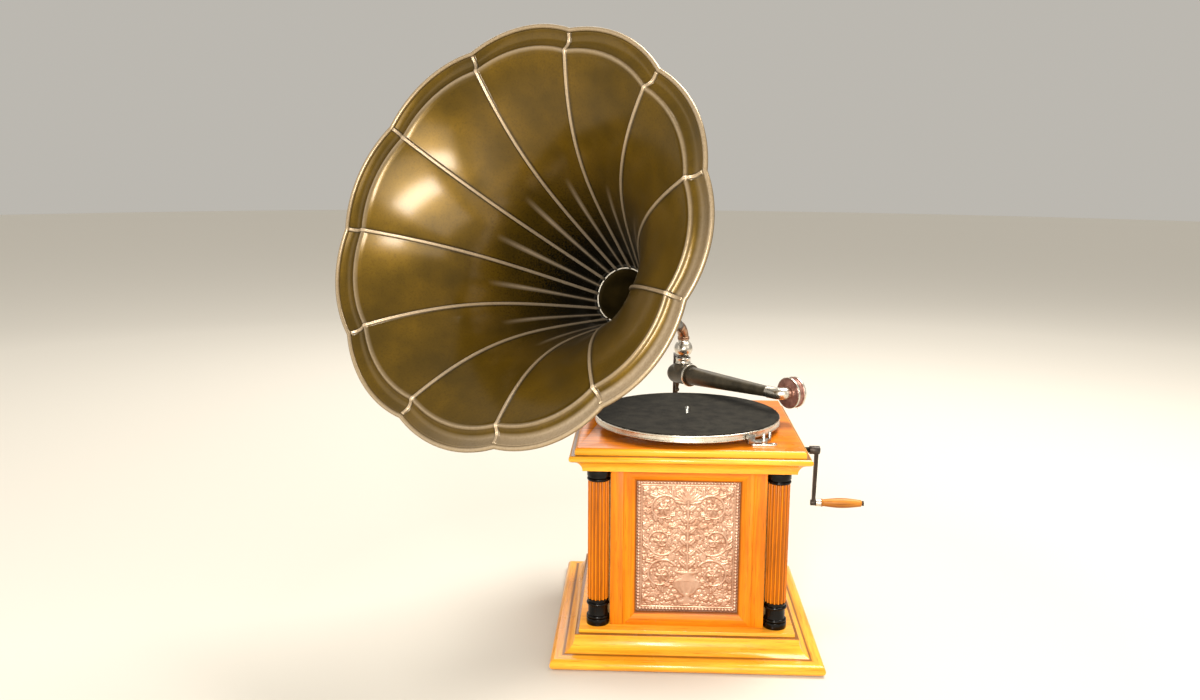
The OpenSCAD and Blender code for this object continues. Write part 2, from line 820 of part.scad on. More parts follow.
// Two posts that carry the governor's shaft, and one that carries the winding shaft's inner end
module governor_brackets() color("dimgray") {
    depth = 8;
    for (x = gov_ends) difference() {
        translate([x - depth / 2, governor_y - 6, plate_low_z])
            cube([depth, 12, governor_z - plate_low_z + 6]);
        translate([x - depth, governor_y, governor_z]) rotate([0, 90, 0])
            cylinder(h = 2 * depth, r = gov_shaft_r + shaft_gap);
    }
    difference() {
        translate([winding_end - depth / 2, crank_back - 7, crank_z - 8])
            cube([depth, 14, plate_top_z - plate_t - crank_z + 8]);
        translate([winding_end - depth, crank_back, crank_z]) rotate([0, 90, 0])
            cylinder(h = 2 * depth, r = crank_shaft_r + shaft_gap);
    }
}

module arbor(at, r, z0, z1) translate([at.x, at.y, z0]) {
    cylinder(h = z1 - z0, r = r);
    translate([0, 0, -plate_t]) cylinder(h = z1 - z0 + 2 * plate_t, r = r / 2);
}

module pinion(at, turn, z, h) translate([at.x, at.y, z]) rotate([0, 0, turn]) linear_extrude(h)
    polygon(gear_outline(pinion_teeth));

// The spindle carries its pinion and ends in the pin that centres the record
module spindle() color("silver") {
    low = plate_low_z + run_gap;
    translate([spindle_at.x, spindle_at.y, low]) {
        cylinder(h = felt_top - low, r = arbor_r);
        translate([0, 0, -plate_t]) cylinder(h = plate_t, r = arbor_r / 2);
        translate([0, 0, felt_top - low]) cylinder(h = spindle_rise - spindle_d / 4, r = spindle_d / 2);
        translate([0, 0, felt_top - low + spindle_rise - spindle_d / 4])
            cylinder(h = spindle_d / 4, r1 = spindle_d / 2, r2 = spindle_d / 4);
    }
    pinion(spindle_at, to_middle, train_z - (pinion_h - gear_h) / 2, pinion_h);
}

module governor_wheel() color("tan") translate([spindle_at.x, spindle_at.y, governor_z]) worm_wheel(arbor_r);

// A pressed platter: flat web, turned-down rim and a hub on the spindle
module platter() color("silver") translate([spindle_at.x, spindle_at.y, platter_z]) {
    difference() {
        cylinder(h = platter_h, r = platter_r, $fn = 128);
        translate([0, 0, -cut])
            cylinder(h = platter_h - platter_web + cut, r = platter_r - platter_wall, $fn = 128);
        cylinder(h = platter_h + cut, r = arbor_r);
    }
    difference() {
        translate([0, 0, hub_lift]) cylinder(h = platter_h - platter_web - hub_lift, r = platter_hub_r);
        cylinder(h = platter_h, r = arbor_r);
    }
}

module felt_mat() color("darkslategray") translate([spindle_at.x, spindle_at.y, mat_z]) difference() {
    cylinder(h = felt_t, r = felt_r, $fn = 128);
    translate([0, 0, -cut]) cylinder(h = felt_t + 2 * cut, r = arbor_r);
}

module intermediate_pinion() color("silver") {
    arbor(middle_at, arbor_r, plate_low_z + run_gap, plate_top_z - plate_t - run_gap);
    pinion(middle_at, to_barrel, barrel_z - (pinion_h - gear_h) / 2, pinion_h);
}

module intermediate_wheel() color("gold") translate([middle_at.x, middle_at.y, train_z]) difference() {
    rotate([0, 0, to_middle + 180 + 180 / middle_teeth]) linear_extrude(gear_h)
        polygon(gear_outline(middle_teeth));
    translate([0, 0, -cut]) cylinder(h = gear_h + 2 * cut, r = arbor_r);
}

// The barrel is a drum open at the top, with the great wheel's teeth on its lower flange
module barrel_drum() color("gold") translate([arbor_at.x, arbor_at.y, barrel_z]) difference() {
    union() {
        rotate([0, 0, to_barrel + 180 + 180 / great_teeth]) linear_extrude(gear_h)
            polygon(gear_outline(great_teeth));
        cylinder(h = barrel_h, r = barrel_r);
    }
    translate([0, 0, gear_h]) cylinder(h = barrel_h, r = barrel_r - barrel_wall);
    translate([0, 0, -cut]) cylinder(h = gear_h + 2 * cut, r = arbor_r + shaft_gap);
}

module barrel_cover() color("gold") translate([arbor_at.x, arbor_at.y, barrel_z + barrel_h]) difference() {
    cylinder(h = cover_t, r = barrel_r);
    translate([0, 0, -cut]) cylinder(h = cover_t + 2 * cut, r = arbor_r + shaft_gap);
}

// The spring winds outwards at a steady rate, from just clear of the arbor to the drum's wall
module mainspring() color("steelblue") translate([arbor_at.x, arbor_at.y, barrel_z + gear_h]) {
    r0 = arbor_r + 4;
    r1 = barrel_r - barrel_wall - spring_t;
    steps = 24 * spring_turns;
    radius = [for (i = [0:steps]) r0 + (r1 - r0) * i / steps];
    linear_extrude(barrel_h - gear_h) polygon(concat(
        [for (i = [0:steps]) radius[i] * [cos(15 * i), sin(15 * i)]],
        [for (i = [steps:-1:0]) (radius[i] + spring_t) * [cos(15 * i), sin(15 * i)]]));
}

module barrel_arbor() color("silver")
    arbor(arbor_at, arbor_r, plate_low_z + run_gap, plate_top_z - plate_t - run_gap);

module winding_wheel() color("gold") translate([arbor_at.x, arbor_at.y, crank_z]) worm_wheel(arbor_r);

module governor_frame() translate([spindle_at.x, governor_y, governor_z]) children();

module along_x(x0, x1, r) translate([x0, 0, 0]) rotate([0, 90, 0]) cylinder(h = x1 - x0, r = r);

module governor_shaft() color("silver") governor_frame() {
    along_x(gov_ends[0] - gov_end_out, gov_ends[1] + gov_end_out, gov_shaft_r);
    worm();
}

module around_governor() for (i = [0:2]) rotate([120 * i, 0, 0]) children();

// Half balls that sit on the leaf springs' outer sides
module governor_weights() color("gold") governor_frame() around_governor()
    translate([(gov_collar + gov_sleeve - collar_len) / 2, 0, weight_orbit]) difference() {
        sphere(weight_r);
        translate([-weight_r, -weight_r, -weight_r]) cube([2 * weight_r, 2 * weight_r, weight_r]);
    }

// Three leaf springs bow out from the fixed collar to the sliding sleeve under the weights
module governor_springs() color("steelblue") governor_frame() around_governor() {
    x0 = gov_collar - collar_len;
    x1 = gov_sleeve;
    mid = (x0 + x1) / 2;
    translate([0, leaf_w / 2, 0]) rotate([90, 0, 0]) linear_extrude(leaf_w) polygon([
        [gov_collar, collar_r], [x0, collar_r], [mid + weight_r, weight_orbit - leaf_t],
        [mid - weight_r, weight_orbit - leaf_t], [x1, collar_r], [x1 - collar_len, collar_r],
        [x1 - collar_len, collar_r + leaf_t], [x1 - leaf_t, collar_r + leaf_t],
        [mid - weight_r - leaf_t / 2, weight_orbit], [mid + weight_r + leaf_t / 2, weight_orbit],
        [x0 + leaf_t, collar_r + leaf_t], [gov_collar, collar_r + leaf_t]]);
}

// Fixed collar, sliding sleeve and the disc that the regulator's pad slows down
module governor_disc() color("silver") governor_frame() for (part = [
    [gov_collar - collar_len, gov_collar, collar_r], [gov_sleeve - collar_len, gov_sleeve, collar_r],
    [gov_sleeve - collar_len - disc_t, gov_sleeve - collar_len, disc_r]])
    difference() {
        along_x(part[0], part[1], part[2]);
        along_x(part[0] - cut, part[1] + cut, gov_shaft_r);
    }

module crank_frame() translate([0, crank_back, crank_z]) children();

module winding_shaft() color("silver") crank_frame() {
    along_x(winding_end - crank_shaft_r, crank_x + crank_arm_t + boss_out + 1, crank_shaft_r);
    translate([arbor_at.x, 0, 0]) worm();
}

// A forged arm with a long boss on the shaft and a short one for the grip's spindle
module crank_arm() color("#3a3836") crank_frame() rotate([crank_rest, 0, 0]) {
    boss_r = crank_shaft_r + boss_wall;
    pin_boss = grip_pin_d / 2 + boss_wall;
    difference() {
        union() {
            along_x(crank_x - boss_in, crank_x + crank_arm_t + boss_out, boss_r);
            translate([crank_x, 0, 0]) rotate([0, 90, 0]) rotate([0, 0, -90]) linear_extrude(crank_arm_t)
                polygon([[1 - boss_r, 0], [boss_r - 1, 0], [pin_boss - 1, crank_arm_len],
                    [1 - pin_boss, crank_arm_len]]);
            translate([0, 0, -crank_arm_len])
                along_x(crank_x - pin_boss_in, crank_x + crank_arm_t + pin_boss_out, pin_boss);
        }
        along_x(crank_x - boss_in - cut, crank_x + crank_arm_t + boss_out + cut, crank_shaft_r);
    }
    translate([0, 0, -crank_arm_len]) {
        head = grip_x + grip_len + run_gap;
        along_x(crank_x + crank_arm_t + pin_boss_out, head, grip_pin_d / 2);
        along_x(head, head + pin_head_t, grip_pin_d / 2 + pin_head_out);
    }
}

// The grip: a straight ferrule, then a long swelling handle with a round end
module crank_grip() color("saddlebrown") crank_frame() rotate([crank_rest, 0, 0])
    translate([grip_x, 0, -crank_arm_len]) rotate([0, 90, 0]) difference() {
        rotate_extrude() {
            r = grip_d / 2;
            run = grip_len - ferrule_len;
            swell = (run * run / 4 + grip_swell * grip_swell) / (2 * grip_swell);
            square([r - ferrule_step, ferrule_len]);
            intersection() {
                translate([r - swell, ferrule_len + run / 2]) circle(swell, $fn = 720);
                translate([0, ferrule_len]) square([r, run]);
            }
        }
        translate([0, 0, -cut]) cylinder(h = grip_len + 2 * cut, r = grip_pin_d / 2 + shaft_gap);
    }

// The arm's own frame: X along the arm, Y towards the sound box, Z up, origin on the pivot axis
module arm_frame() translate([pivot_at.x, pivot_at.y, 0]) rotate([0, 0, arm_angle - 90]) children();

// The frame of the tapered tube, which starts at the elbow's end and slopes gently up
module tube_frame() arm_frame() translate(arm_start) rotate([0, -arm_rise, 0]) children();

module ring_section(r, bore) difference() {
    circle(r);
    circle(bore);
}

// The air path from the stub's top, round the bend and into the flange
module elbow_bore() {
    arm_frame() {
        translate([0, 0, arm_bend_z]) cylinder(h = sleeve_h / 2 + cut, r = stub_bore);
        translate([elbow_bend, 0, arm_bend_z]) rotate([90, 180, 0])
            rotate_extrude(angle = 90 + arm_rise) translate([elbow_bend, 0]) circle(stub_bore);
    }
    tube_frame() along_x(0, flange_t + cut, root_r - 2 * tube_wall);
}

// A turned finial that hangs from the plane Z = 0
module finial() rotate_extrude() {
    neck = finial_len - 2 * finial_r;
    polygon([[0, rear_r / 2], [finial_r, rear_r / 2], [finial_r, -neck / 3], [finial_waist, -neck],
        [finial_waist, -finial_len + finial_r], [0, -finial_len + finial_r]]);
    translate([0, -finial_len + finial_r]) intersection() {
        circle(finial_r);
        translate([0, -finial_r]) square(2 * finial_r);
    }
}

// A cast elbow: a round-ended barrel in line with the tube and the flange that meets it, a shoulder and
// a stub on the pivot axis, and a finial under the rear end
module tonearm_elbow() color("#2e2b28") difference() {
    union() {
        tube_frame() {
            rotate([0, 90, 0]) rotate_extrude() {
                square([elbow_r + flange_out, flange_t]);
                translate([0, rear_x]) square([rear_r, -rear_x + cut]);
                translate([0, rear_x]) intersection() {
                    circle(rear_r);
                    translate([0, -rear_r]) square([rear_r, rear_r + cut]);
                }
            }
            translate([rear_x, 0, -rear_r]) finial();
        }
        arm_frame() translate([0, 0, arm_start.z]) {
            cylinder(h = arm_bend_z - arm_start.z, r = elbow_r);
            cylinder(h = arm_bend_z + sleeve_h / 2 - arm_start.z, r = stub_r);
        }
    }
    elbow_bore();
}

module tonearm_tube() color("#2e2b28") tube_frame() difference() {
    union() {
        translate([flange_t, 0, 0]) rotate([0, 90, 0])
            cylinder(h = tube_len - flange_t, r1 = root_r, r2 = tube_end_r + 1);
        along_x(tube_len, tube_len + spigot_len, tube_end_r);
    }
    translate([flange_t - cut, 0, 0]) rotate([0, 90, 0])
        cylinder(h = tube_len - flange_t + 2 * cut, r1 = root_r - 2 * tube_wall, r2 = tube_end_r - tube_wall);
    along_x(tube_len, tube_len + spigot_len + cut, tube_end_r - tube_wall);
}

// The sound box's frame: Y along its axis from the arm's axis, Z up
module box_frame() tube_frame() translate([arm_reach, 0, 0]) rotate([0, arm_rise, 0]) children();

module along_y(y0, y1, r) translate([0, y0, 0]) rotate([-90, 0, 0]) cylinder(h = y1 - y0, r = r);

// A socket over the tube's end, a bend and a short neck into the sound box's back
module soundbox_elbow() color("silver") {
    tube_frame() {
        difference() {
            along_x(tube_len + run_gap, arm_reach - end_bend, end_r);
            along_x(tube_len, tube_len + spigot_len + run_gap, socket_r);
            along_x(tube_len, arm_reach, tube_end_r - tube_wall);
        }
        translate([arm_reach - end_bend, end_bend, 0]) rotate([0, 0, -90])
            rotate_extrude(angle = 90) translate([end_bend, 0])
                ring_section(end_r, tube_end_r - tube_wall);
        translate([arm_reach, 0, 0]) difference() {
            along_y(end_bend, box_offset, end_r);
            along_y(end_bend - cut, box_offset + cut, tube_end_r - tube_wall);
        }
    }
}

module soundbox_back() color("sienna") box_frame() difference() {
    along_y(box_offset, box_offset + back_t, box_d / 2 - rim_wall);
    along_y(box_offset - cut, box_offset + back_t + cut, tube_end_r - tube_wall);
}

module soundbox_rim() color("silver") box_frame() difference() {
    along_y(box_offset, box_front, box_d / 2);
    along_y(box_offset - cut, box_front - lip_t, box_d / 2 - rim_wall);
    along_y(box_offset, box_front + cut, lip_r);
    difference() {
        along_y(box_offset + rim_flange_w, box_front - rim_flange_w, box_d / 2 + cut);
        along_y(box_offset, box_front, box_d / 2 - rim_groove);
    }
}

module diaphragm_gaskets() color("black") box_frame() for (y = [mica_y - gasket_t, mica_y + mica_t])
    difference() {
        along_y(y, y + gasket_t, box_d / 2 - rim_wall);
        along_y(y - cut, y + gasket_t + cut, lip_r);
    }

module diaphragm() color("wheat") box_frame() difference() {
    along_y(mica_y, mica_y + mica_t, box_d / 2 - rim_wall);
    along_y(mica_y - cut, mica_y + mica_t + cut, bar_pin_r);
}

module needle_frame() box_frame() translate([needle_x, needle_y, socket_end])
    rotate([0, 180 - (90 - needle_slope), 0]) children();

// The bar from the diaphragm's middle to the needle socket at the rim
module stylus_bar() color("silver") difference() {
    union() {
        box_frame() {
            along_y(mica_y, bar_y + bar_t, bar_pin_r);
            translate([-1.5, bar_y, socket_end + 4]) cube([3, bar_t, 1.5 - socket_end - 4]);
            translate([-4, box_front, socket_end + 3]) cube([8, bar_y - box_front, 4]);
        }
        difference() {
            needle_frame() translate([0, 0, -socket_len]) cylinder(h = socket_len, r = socket_d / 2);
            box_frame() along_y(box_offset, box_front, box_d / 2 + cut);
        }
    }
    needle_frame() translate([0, 0, needle_sink - socket_len]) cylinder(h = socket_len, r = needle_d / 2);
    screw_place() cylinder(h = socket_d, r = needle_screw_r + shaft_gap);
}

module needle() color("silver") needle_frame() {
    translate([0, 0, needle_sink - socket_len])
        cylinder(h = socket_len - needle_sink + needle_len - needle_taper, r = needle_d / 2);
    translate([0, 0, needle_len - needle_taper])
        cylinder(h = needle_taper, r1 = needle_d / 2, r2 = needle_point_r);
}

module screw_place() box_frame() translate([needle_x - 2.5, needle_y, socket_end + 4.5])
    rotate([-90, 0, 0]) children();

// The thumb screw that holds the needle
module needle_screw() color("silver") screw_place() {
    translate([0, 0, needle_d / 2 + run_gap])
        cylinder(h = socket_d / 2 + thumb_head_h / 2, r = needle_screw_r);
    translate([0, 0, socket_d / 2 + run_gap]) linear_extrude(thumb_head_h) difference() {
        circle(thumb_head_r);
        for (i = [0:11]) rotate(30 * i) translate([thumb_head_r + 0.2, 0]) circle(0.5, $fn = 16);
    }
}

// The horn's frame: Z along its axis towards the mouth, origin at the bend's corner
module horn_frame() translate([pivot_at.x, pivot_at.y, bend_corner_z])
    rotate([90 - horn_slope, 0, -horn_azimuth]) children();

// Radius of the flare at a share s of its length
function flare(s) =
    throat_r + (ring_r - throat_r) * (flare_even * s + (1 - flare_even) * pow(s, flare_power));

// Profile of the horn as radius and distance along the axis: the flare, then the hollow lip
function profile(row) = row <= flare_rows
    ? let(s = 1 - pow(1 - row / flare_rows, 1.35)) [flare(s), throat_at + s * (flare_len - lip_rise)]
    : let(s = (row - flare_rows) / (rows - flare_rows))
        [ring_r + s * (mouth_r - ring_r), horn_len - lip_rise * (1 - s) - lip_depth * sin(180 * s)];

// Unit normal of the profile, pointing out of the horn and back
function profile_normal(row) =
    let(a = profile(max(row - 0.05, 0)), b = profile(min(row + 0.05, rows)), d = (b - a) / norm(b - a))
    [d.y, -d.x];

// Angle across a petal at a column, for a profile radius: close together over the seam bead, then even
function column_angle(col, r) =
    let(bead = seam_w / 2 / r * 180 / PI, side = col < columns / 2 ? -1 : 1,
        k = col < columns / 2 ? col : columns - col)
    k < 2 ? side * (petal_half - max(k * bead / 2, seam_gap / 2 / r * 180 / PI))
        : side * (petal_half - bead) * (1 - (k - 2) / (across / 2));

// Height of the seam bead and of the short middle crease above the sheet
function bead_height(col, row) =
    let(k = min(col, columns - col), crease = max(0, 1 - row / flare_rows / crease_share))
    k == 0 ? seam_h : k == 1 ? 0.75 * seam_h : k == columns / 2 ? crease_h * crease : 0;

// A point of a petal; depth 0 is its inner face and 1 its outer face
function petal_point(row, col, depth) =
    let(p = profile(row), n = profile_normal(row), a = column_angle(col, p[0]),
        share = 1 - pow(a / petal_half, 2), bulge = petal_bulge * share * pow(p[0] / mouth_r, 2),
        off = depth * sheet_t - bead_height(col, row) * (1 - depth),
        r = p[0] + bulge + n[0] * off, t = seam_turn + petal_half + a)
    [r * cos(t), r * sin(t), p[1] + n[1] * off];

// Triangles of a grid of points that starts at the given index, turned over if flip is set
function grid_faces(start, nr, nc, flip) = [for (i = [0:nr - 1], j = [0:nc - 1])
    let(a = start + i * (nc + 1) + j, b = a + 1, c = a + nc + 1, d = c + 1)
    each flip ? [[a, b, d], [a, d, c]] : [[a, d, b], [a, c, d]]];

// Triangles that join the edges of two like grids into a closed sheet
function edge_faces(nr, nc) =
    let(n = (nr + 1) * (nc + 1),
        rim = concat([for (j = [0:nc]) j], [for (i = [1:nr]) i * (nc + 1) + nc],
            [for (j = [nc - 1:-1:0]) nr * (nc + 1) + j], [for (i = [nr - 1:-1:1]) i * (nc + 1)]))
    [for (k = [0:len(rim) - 1]) let(a = rim[k], b = rim[(k + 1) % len(rim)])
        each [[a, b + n, a + n], [a, b, b + n]]];

module petal() polyhedron(
    concat([for (d = [0, 1], i = [0:rows], j = [0:columns]) petal_point(i, j, d)]),
    concat(grid_faces(0, rows, columns, false),
        grid_faces((rows + 1) * (columns + 1), rows, columns, true), edge_faces(rows, columns)));

module horn_petals() color("#5a4a38") horn_frame()
    for (i = [0:petals - 1]) rotate([0, 0, i * 2 * petal_half]) petal();

// Centre of the rolled edge at an angle round the mouth
function rim_centre(turn) =
    let(a = ((turn % (2 * petal_half)) + 2 * petal_half) % (2 * petal_half) - petal_half,
        r = mouth_r + petal_bulge * (1 - pow(a / petal_half, 2)) + rim_bead_r + 0.2)
    [r * cos(seam_turn + turn), r * sin(seam_turn + turn), horn_len];

module horn_rim_bead() color("#6a5844") horn_frame() {
    n = petals * rim_steps;
    pts = [for (i = [0:n - 1]) let(turn = i * 360 / n, c = rim_centre(turn), t = seam_turn + turn)
        for (j = [0:rim_sides - 1]) let(b = j * 360 / rim_sides)
            c + rim_bead_r * [cos(b) * cos(t), cos(b) * sin(t), sin(b)]];
    faces = [for (i = [0:n - 1], j = [0:rim_sides - 1])
        let(i2 = (i + 1) % n, j2 = (j + 1) % rim_sides, a = i * rim_sides + j, b = i2 * rim_sides + j,
            c = i2 * rim_sides + j2, d = i * rim_sides + j2)
        each [[a, c, b], [a, d, c]]];
    polyhedron(pts, faces);
}

// Radius of the neck's outside at a distance along the horn's axis
function neck_at(z) =
    neck_r + (throat_r + sheet_t - neck_r) * (z - bend_tangent) / (throat_at - bend_tangent);

module horn_throat_ring() color("tan") horn_frame() rotate_extrude() {
    ring_w = 6;
    translate([neck_at(throat_at), throat_at - ring_w / 2]) difference() {
        translate([-0.6, 0]) circle(ring_w / 2);
        polygon([[-ring_w, -ring_w], [-ring_w, ring_w],
            [neck_at(throat_at + ring_w / 2) - neck_at(throat_at), ring_w],
            [neck_at(throat_at - 1.5 * ring_w) - neck_at(throat_at), -ring_w]]);
    }
}

module horn_neck() color("#4a3e30") horn_frame() rotate_extrude() polygon([
    [neck_r, bend_tangent], [throat_r + sheet_t, throat_at], [throat_r, throat_at],
    [neck_r - sheet_t, bend_tangent]]);

// The bend from the ball to the neck, with two turned beads round its foot
module horn_elbow() color("#4a3e30") translate([pivot_at.x, pivot_at.y, bend_corner_z - bend_tangent]) {
    rotate([0, 0, -horn_azimuth]) translate([0, -horn_bend, 0]) rotate([90, 0, 90])
        rotate_extrude(angle = 90 - horn_slope) translate([horn_bend, 0])
            ring_section(neck_r, neck_r - sheet_t);
    for (z = neck_bead_at) translate([0, 0, z]) rotate_extrude()
        translate([neck_r, 0]) intersection() {
            circle(neck_bead, $fn = 32);
            translate([-sheet_t / 2, -neck_bead]) square(2 * neck_bead + cut);
        }
}

// A hollow ball on a spigot that turns in the bracket's sleeve
module swivel_ball() color("silver") translate([pivot_at.x, pivot_at.y, 0]) {
    low = sleeve_z + sleeve_h / 2;
    high = bend_corner_z - bend_tangent;
    difference() {
        union() {
            translate([0, 0, ball_z]) sphere(ball_r);
            translate([0, 0, ball_z]) cylinder(h = high - ball_z, r = neck_r);
            translate([0, 0, low]) cylinder(h = ball_z - low, r = stub_r);
        }
        translate([0, 0, low - cut]) cylinder(h = high - low + 2 * cut, r = stub_bore);
        translate([0, 0, sleeve_z]) difference() {
            cylinder(h = sleeve_h + run_gap, r = 2 * ball_r);
            cylinder(h = sleeve_h + run_gap, r = stub_r);
        }
    }
}

// The lever carries a dark pad that rests against the platter's rim, and a thumb post
module brake_lever() color("dimgray") difference() {
    union() {
        translate([brake_pivot.x, brake_pivot.y, brake_lever_z]) {
            cylinder(h = brake_lever_t, r = brake_hub_r);
            rotate([0, 0, bearing(brake_pivot, pad_centre)]) translate([0, -brake_arm_w / 2, 0])
                cube([norm(pad_centre - brake_pivot), brake_arm_w, brake_lever_t]);
            rotate([0, 0, brake_angle + 90]) {
                translate([0, -thumb_arm_w / 2, 0]) cube([thumb_out, thumb_arm_w, brake_lever_t]);
                translate([thumb_out, 0, 0]) cylinder(h = thumb_h, r = thumb_arm_w / 2);
            }
        }
        translate([spindle_at.x, spindle_at.y, brake_lever_z]) rotate([0, 0, pad_angle])
            translate([platter_r + run_gap, -pad_w / 2, 0])
                cube([pad_t, pad_w, platter_z + pad_h - brake_lever_z]);
    }
    brake_frame() cylinder(h = platter_gap + platter_h, r = brake_pin_r + shaft_gap);
}

// A knurled knob whose shaft ends in a cam under the motor board
module regulator_knob() color("silver") translate([knob_at.x, knob_at.y, 0]) {
    translate([0, 0, top_z + run_gap]) linear_extrude(knob_h) difference() {
        circle(knob_r);
        for (i = [0:23]) rotate(15 * i) translate([knob_r + 0.4, 0]) circle(0.9, $fn = 16);
    }
    translate([0, 0, lever_z]) cylinder(h = top_z + run_gap - lever_z, r = knob_shaft_r);
    translate([-cam_throw, 0, lever_z - 1]) cylinder(h = lever_t + 2, r = cam_r);
}

// A flat lever from the cam to the governor, with a finger that reaches down to the friction disc
module regulator_lever() color("gray") {
    tip = [spindle_at.x + finger_x - finger_t / 2, governor_y];
    heel = knob_at + [cam_r - cam_throw + heel_gap + heel_r, 0];
    translate([0, 0, lever_z]) linear_extrude(lever_t) difference() {
        union() {
            lever_arm(tip);
            lever_arm(heel);
            translate(lever_pivot) circle(lever_hub_r);
        }
        translate(lever_pivot) circle(lever_pin_r + shaft_gap);
    }
    translate([tip.x - finger_t / 2, tip.y - finger_t / 2, governor_z + collar_r])
        cube([finger_t, finger_t, lever_z + lever_t - governor_z - collar_r]);
}

// A straight arm of the lever from its pivot to a round end
module lever_arm(end) {
    translate(lever_pivot) rotate(bearing(lever_pivot, end)) translate([0, -heel_r])
        square([norm(end - lever_pivot), 2 * heel_r]);
    translate(end) circle(heel_r);
}

plinth_moulding();
bottom_board();
base_board();
stiles();
front_panel_frame();
copper_panel();
side_panel_frames();
side_panels();
back_board();
corner_posts();
column_shafts();
column_capitals();
column_bases();
cornice_moulding();
motor_board();
wood_screws();
crank_escutcheon();
back_bracket();
brake_plate();
motor_top_plate();
motor_bottom_plate();
motor_pillars();
governor_brackets();
spindle();
governor_wheel();
platter();
felt_mat();
intermediate_pinion();
intermediate_wheel();
barrel_drum();
barrel_cover();
mainspring();
barrel_arbor();
winding_wheel();
governor_shaft();
governor_weights();
governor_springs();
governor_disc();
winding_shaft();
crank_arm();
crank_grip();
tonearm_elbow();
tonearm_tube();
soundbox_elbow();
soundbox_back();
soundbox_rim();
diaphragm_gaskets();
diaphragm();
stylus_bar();
needle();
needle_screw();
horn_petals();
horn_rim_bead();
horn_throat_ring();
horn_neck();
horn_elbow();
swivel_ball();
brake_lever();
regulator_knob();
regulator_lever();
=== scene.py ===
"""Looks of a horn gramophone, built round its packed CAD part.

Run as a script inside Blender. New pieces are surfaces worked out on grids of points, in metres and
in the CAD part's own frame: X right, Y back, Z up, origin under the middle of the plinth. The CAD
nodes that already have the right shape keep it and get bevelled edges and a material.
"""

import json
import math

import bpy
import numpy as np
from mathutils import Matrix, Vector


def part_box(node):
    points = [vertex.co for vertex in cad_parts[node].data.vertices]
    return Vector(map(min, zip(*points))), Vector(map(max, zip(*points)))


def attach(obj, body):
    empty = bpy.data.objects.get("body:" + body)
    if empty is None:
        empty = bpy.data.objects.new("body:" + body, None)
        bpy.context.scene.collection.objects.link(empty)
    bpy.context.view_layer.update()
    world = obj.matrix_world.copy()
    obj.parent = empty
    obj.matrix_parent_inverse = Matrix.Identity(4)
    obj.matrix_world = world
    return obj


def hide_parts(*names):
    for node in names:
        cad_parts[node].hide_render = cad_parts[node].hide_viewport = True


bl_info = {
    "name": "Horn gramophone",
    "version": (1, 0, 0),
    "blender": (4, 5, 0),
    "location": "View3D > Sidebar > Gramophone",
    "description": "Dresses the packed gramophone with fine shapes, materials, a floor and a camera",
    "category": "Object",
}

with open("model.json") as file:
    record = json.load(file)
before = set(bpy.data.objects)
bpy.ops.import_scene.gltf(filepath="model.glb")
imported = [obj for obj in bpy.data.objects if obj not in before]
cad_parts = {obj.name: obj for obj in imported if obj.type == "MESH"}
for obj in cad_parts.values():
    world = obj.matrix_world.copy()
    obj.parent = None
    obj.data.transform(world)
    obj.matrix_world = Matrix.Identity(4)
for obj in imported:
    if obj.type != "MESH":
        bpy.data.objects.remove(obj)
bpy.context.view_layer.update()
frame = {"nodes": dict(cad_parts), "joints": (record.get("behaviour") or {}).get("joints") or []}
NODES = frame["nodes"]
MM = 0.001
TURN = 2 * math.pi
WELD_GAP = 0.005 * MM
SHARP_EDGE = math.radians(32)


# Colours and properties

def linear(hex_colour):
    """Turns an sRGB hex colour such as #c87a1e into linear red, green, blue and a full alpha."""
    parts = [int(hex_colour[i:i + 2], 16) / 255 for i in (1, 3, 5)]
    return tuple(c / 12.92 if c <= 0.04045 else ((c + 0.055) / 1.055) ** 2.4 for c in parts) + (1.0,)


def length(name, description, millimetres):
    """A length property whose default is given in millimetres."""
    return bpy.props.FloatProperty(name=name, description=description, default=millimetres * MM,
                                   min=0.0, unit="LENGTH", precision=4)


def angle(name, description, degrees):
    """An angle property whose default is given in degrees."""
    return bpy.props.FloatProperty(name=name, description=description, default=math.radians(degrees),
                                   unit="ROTATION")


def colour(name, description, hex_colour):
    """A colour property whose default is given as an sRGB hex value."""
    return bpy.props.FloatVectorProperty(name=name, description=description, size=4, min=0.0, max=1.0,
                                         subtype="COLOR", default=linear(hex_colour))


class HornSettings(bpy.types.PropertyGroup):
    """Sizes of the petalled horn, which agree with the CAD part."""
    petals: bpy.props.IntProperty(name="Petals", description="Number of petals", default=11, min=5)
    pivot_back: length("Pivot", "Distance of the swivel behind the case's middle", 190)
    bend_height: length("Bend height", "Height of the bend's corner", 470.5)
    azimuth: angle("Azimuth", "Turn of the horn to the left of straight ahead", 29)
    slope: angle("Slope", "Upward slope of the horn", 20.9)
    reach: length("Reach", "Distance of the mouth from the bend's corner", 573)
    flare: length("Flare", "Length of the flared petals", 335)
    throat: length("Throat radius", "Radius at the throat", 46)
    ring: length("Ring radius", "Radius of the raised ring inside the lip", 265)
    mouth: length("Mouth radius", "Radius of the mouth at the seams", 290)
    bulge: length("Bulge", "How far a petal bulges past the seams at the mouth", 9)
    lip_depth: length("Lip depth", "Depth of the lip's hollow", 5)
    sheet: length("Sheet", "Thickness of the sheet metal", 1.2)
    seam_width: length("Seam width", "Width of a seam's bead", 5.5)
    seam_height: length("Seam height", "Height of a seam's bead", 2.6)
    rim_radius: length("Rim radius", "Radius of the rolled edge", 3.4)
    seam_turn: angle("Seam turn", "Where the first seam stands", 83.5)


